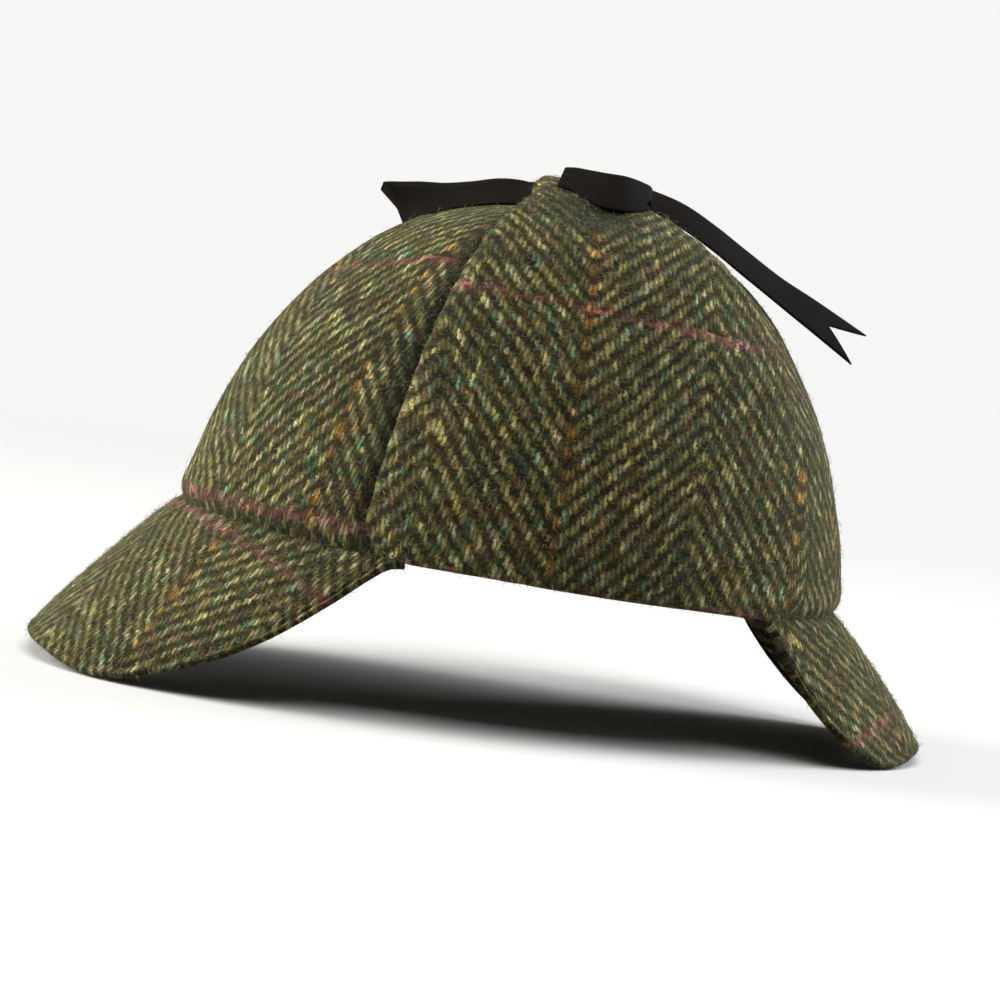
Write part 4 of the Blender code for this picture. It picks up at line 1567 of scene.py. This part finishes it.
def make_floor(settings):
    """Pale matt studio board that fades into the backdrop far from the hat."""
    material, node, shader = new_surface("pale_matt_board", Roughness=0.9, IOR=1.5)
    place = node("TexCoord", out="Object")
    far = node("VectorMath", place, out="Value", operation="LENGTH")
    fade = node("MapRange", far, *FLOOR_SEEN_TO, 1.0, 0.0)
    grain = node("TexNoise", {"Vector": place, "Scale": 60.0, "Detail": 2.0})
    # The board throws little light back up, as if black cards stood beside the hat.
    dim = node("MapRange", node("LightPath", out="Is Camera Ray"), 0.0, 1.0, FLOOR_THROWN_BACK, 1.0)
    grain = node("MapRange", grain, 0.0, 1.0, 0.98, 1.0)
    share = node("Math", grain, dim, operation="MULTIPLY")
    black, white = (0.0, 0.0, 0.0, 1.0), (*settings.floor, 1.0)
    paint = node("Mix", {0: share, 6: black, 7: white}, out=2, data_type="RGBA")
    material.node_tree.links.new(paint, shader["Base Color"])
    material.node_tree.links.new(fade, shader["Alpha"])
    return material


class DeerstalkerClothSettings(PropertyGroup):
    end_spacing: FloatProperty(
        name="End Spacing",
        description="Distance between warp yarns of the tweed",
        default=1.4 * MM,
        unit="LENGTH",
    )
    pick_spacing: FloatProperty(
        name="Pick Spacing",
        description="Distance between weft yarns of the tweed",
        default=1.72 * MM,
        unit="LENGTH",
    )
    stripe_ends: IntProperty(
        name="Stripe Ends",
        description="Warp yarns from one turn of the herringbone to the next",
        default=29,
    )
    check_picks: IntProperty(
        name="Check Picks",
        description="Weft yarns from one wine line to the next",
        default=52,
    )
    rust: FloatVectorProperty(
        name="Rust",
        description="Colour of the overcheck's warp yarns",
        subtype="COLOR",
        default=linear("#80500b")[:3],
    )
    wine: FloatVectorProperty(
        name="Wine",
        description="Colour of the overcheck's weft yarns",
        subtype="COLOR",
        default=linear("#70203a")[:3],
    )
    nap_count: IntProperty(
        name="Nap", description="Short fibres on the crown", default=17000
    )
    hair_count: IntProperty(
        name="Hairs", description="Long loose hairs on the crown", default=240
    )


class DeerstalkerBowSettings(PropertyGroup):
    ribbon_dark: FloatVectorProperty(
        name="Ribbon Dark",
        description="Darkest tone of the ribbon",
        subtype="COLOR",
        default=linear("#0a0603")[:3],
    )
    ribbon_light: FloatVectorProperty(
        name="Ribbon Light",
        description="Lightest tone of the ribbon",
        subtype="COLOR",
        default=linear("#130d08")[:3],
    )


class DeerstalkerStageSettings(PropertyGroup):
    azimuth: FloatProperty(
        name="Azimuth",
        description="Camera's angle round the hat from its front",
        default=math.radians(86.732),
        subtype="ANGLE",
    )
    elevation: FloatProperty(
        name="Elevation",
        description="Camera's angle above the floor",
        default=math.radians(3.478),
        subtype="ANGLE",
    )
    roll: FloatProperty(
        name="Roll",
        description="Camera's turn about its own line",
        default=math.radians(7.567),
        subtype="ANGLE",
    )
    distance: FloatProperty(
        name="Distance", description="Camera to the hat's middle", default=1.3, unit="LENGTH"
    )
    lens: FloatProperty(
        name="Lens", description="Camera's focal length", default=149.573 * MM, unit="LENGTH"
    )
    aim_right: FloatProperty(
        name="Aim Right",
        description="How far right of the hat's middle the camera looks",
        default=-0.00388,
        unit="LENGTH",
    )
    aim_up: FloatProperty(
        name="Aim Up",
        description="How far above the hat's middle the camera looks",
        default=-0.03476,
        unit="LENGTH",
    )
    front_power: FloatProperty(
        name="Front", description="Power of the front softbox", default=40.5, unit="POWER"
    )
    back_power: FloatProperty(
        name="Back", description="Power of the rear softbox", default=30.5, unit="POWER"
    )
    top_power: FloatProperty(
        name="Top", description="Power of the top softbox", default=25.0, unit="POWER"
    )
    surround: FloatProperty(
        name="Surround", description="Light that comes from all sides", default=0.09
    )
    floor: FloatVectorProperty(
        name="Floor",
        description="Colour of the floor",
        subtype="COLOR",
        default=linear("#eeeeec")[:3],
    )
    backdrop: FloatVectorProperty(
        name="Backdrop",
        description="Colour of the backdrop",
        subtype="COLOR",
        default=linear("#fbfbfa")[:3],
    )


class DEERSTALKER_PT_hat(Panel):
    """Lists the hat's settings and the steps that make it"""

    bl_idname = "DEERSTALKER_PT_hat"
    bl_label = "Deerstalker Hat"
    bl_space_type = "VIEW_3D"
    bl_region_type = "UI"
    bl_category = "Hat"

    def draw(self, context):
        scene = context.scene
        for settings in (scene.deerstalker_cloth, scene.deerstalker_bow, scene.deerstalker_stage):
            box = self.layout.box()
            for name in settings.__annotations__:
                box.prop(settings, name)
        for step in STEPS:
            self.layout.operator(step.bl_idname)


STEPS = (
    DEERSTALKER_OT_crown,
    DEERSTALKER_OT_ear_flaps,
    DEERSTALKER_OT_peaks,
    DEERSTALKER_OT_bow,
    DEERSTALKER_OT_nap,
    DEERSTALKER_OT_stage,
)
SETTINGS = {
    "deerstalker_cloth": DeerstalkerClothSettings,
    "deerstalker_bow": DeerstalkerBowSettings,
    "deerstalker_stage": DeerstalkerStageSettings,
}


def register():
    for each in (*SETTINGS.values(), *STEPS, DEERSTALKER_PT_hat):
        bpy.utils.register_class(each)
    for name, group in SETTINGS.items():
        setattr(bpy.types.Scene, name, PointerProperty(type=group))


def unregister():
    for name in SETTINGS:
        delattr(bpy.types.Scene, name)
    for each in reversed((*SETTINGS.values(), *STEPS, DEERSTALKER_PT_hat)):
        bpy.utils.unregister_class(each)


def main():
    register()
    bpy.ops.deerstalker.crown()
    bpy.ops.deerstalker.ear_flaps()
    bpy.ops.deerstalker.peaks()
    bpy.ops.deerstalker.bow()
    bpy.ops.deerstalker.nap()
    bpy.ops.deerstalker.stage()


if __name__ == "__main__":
    main()
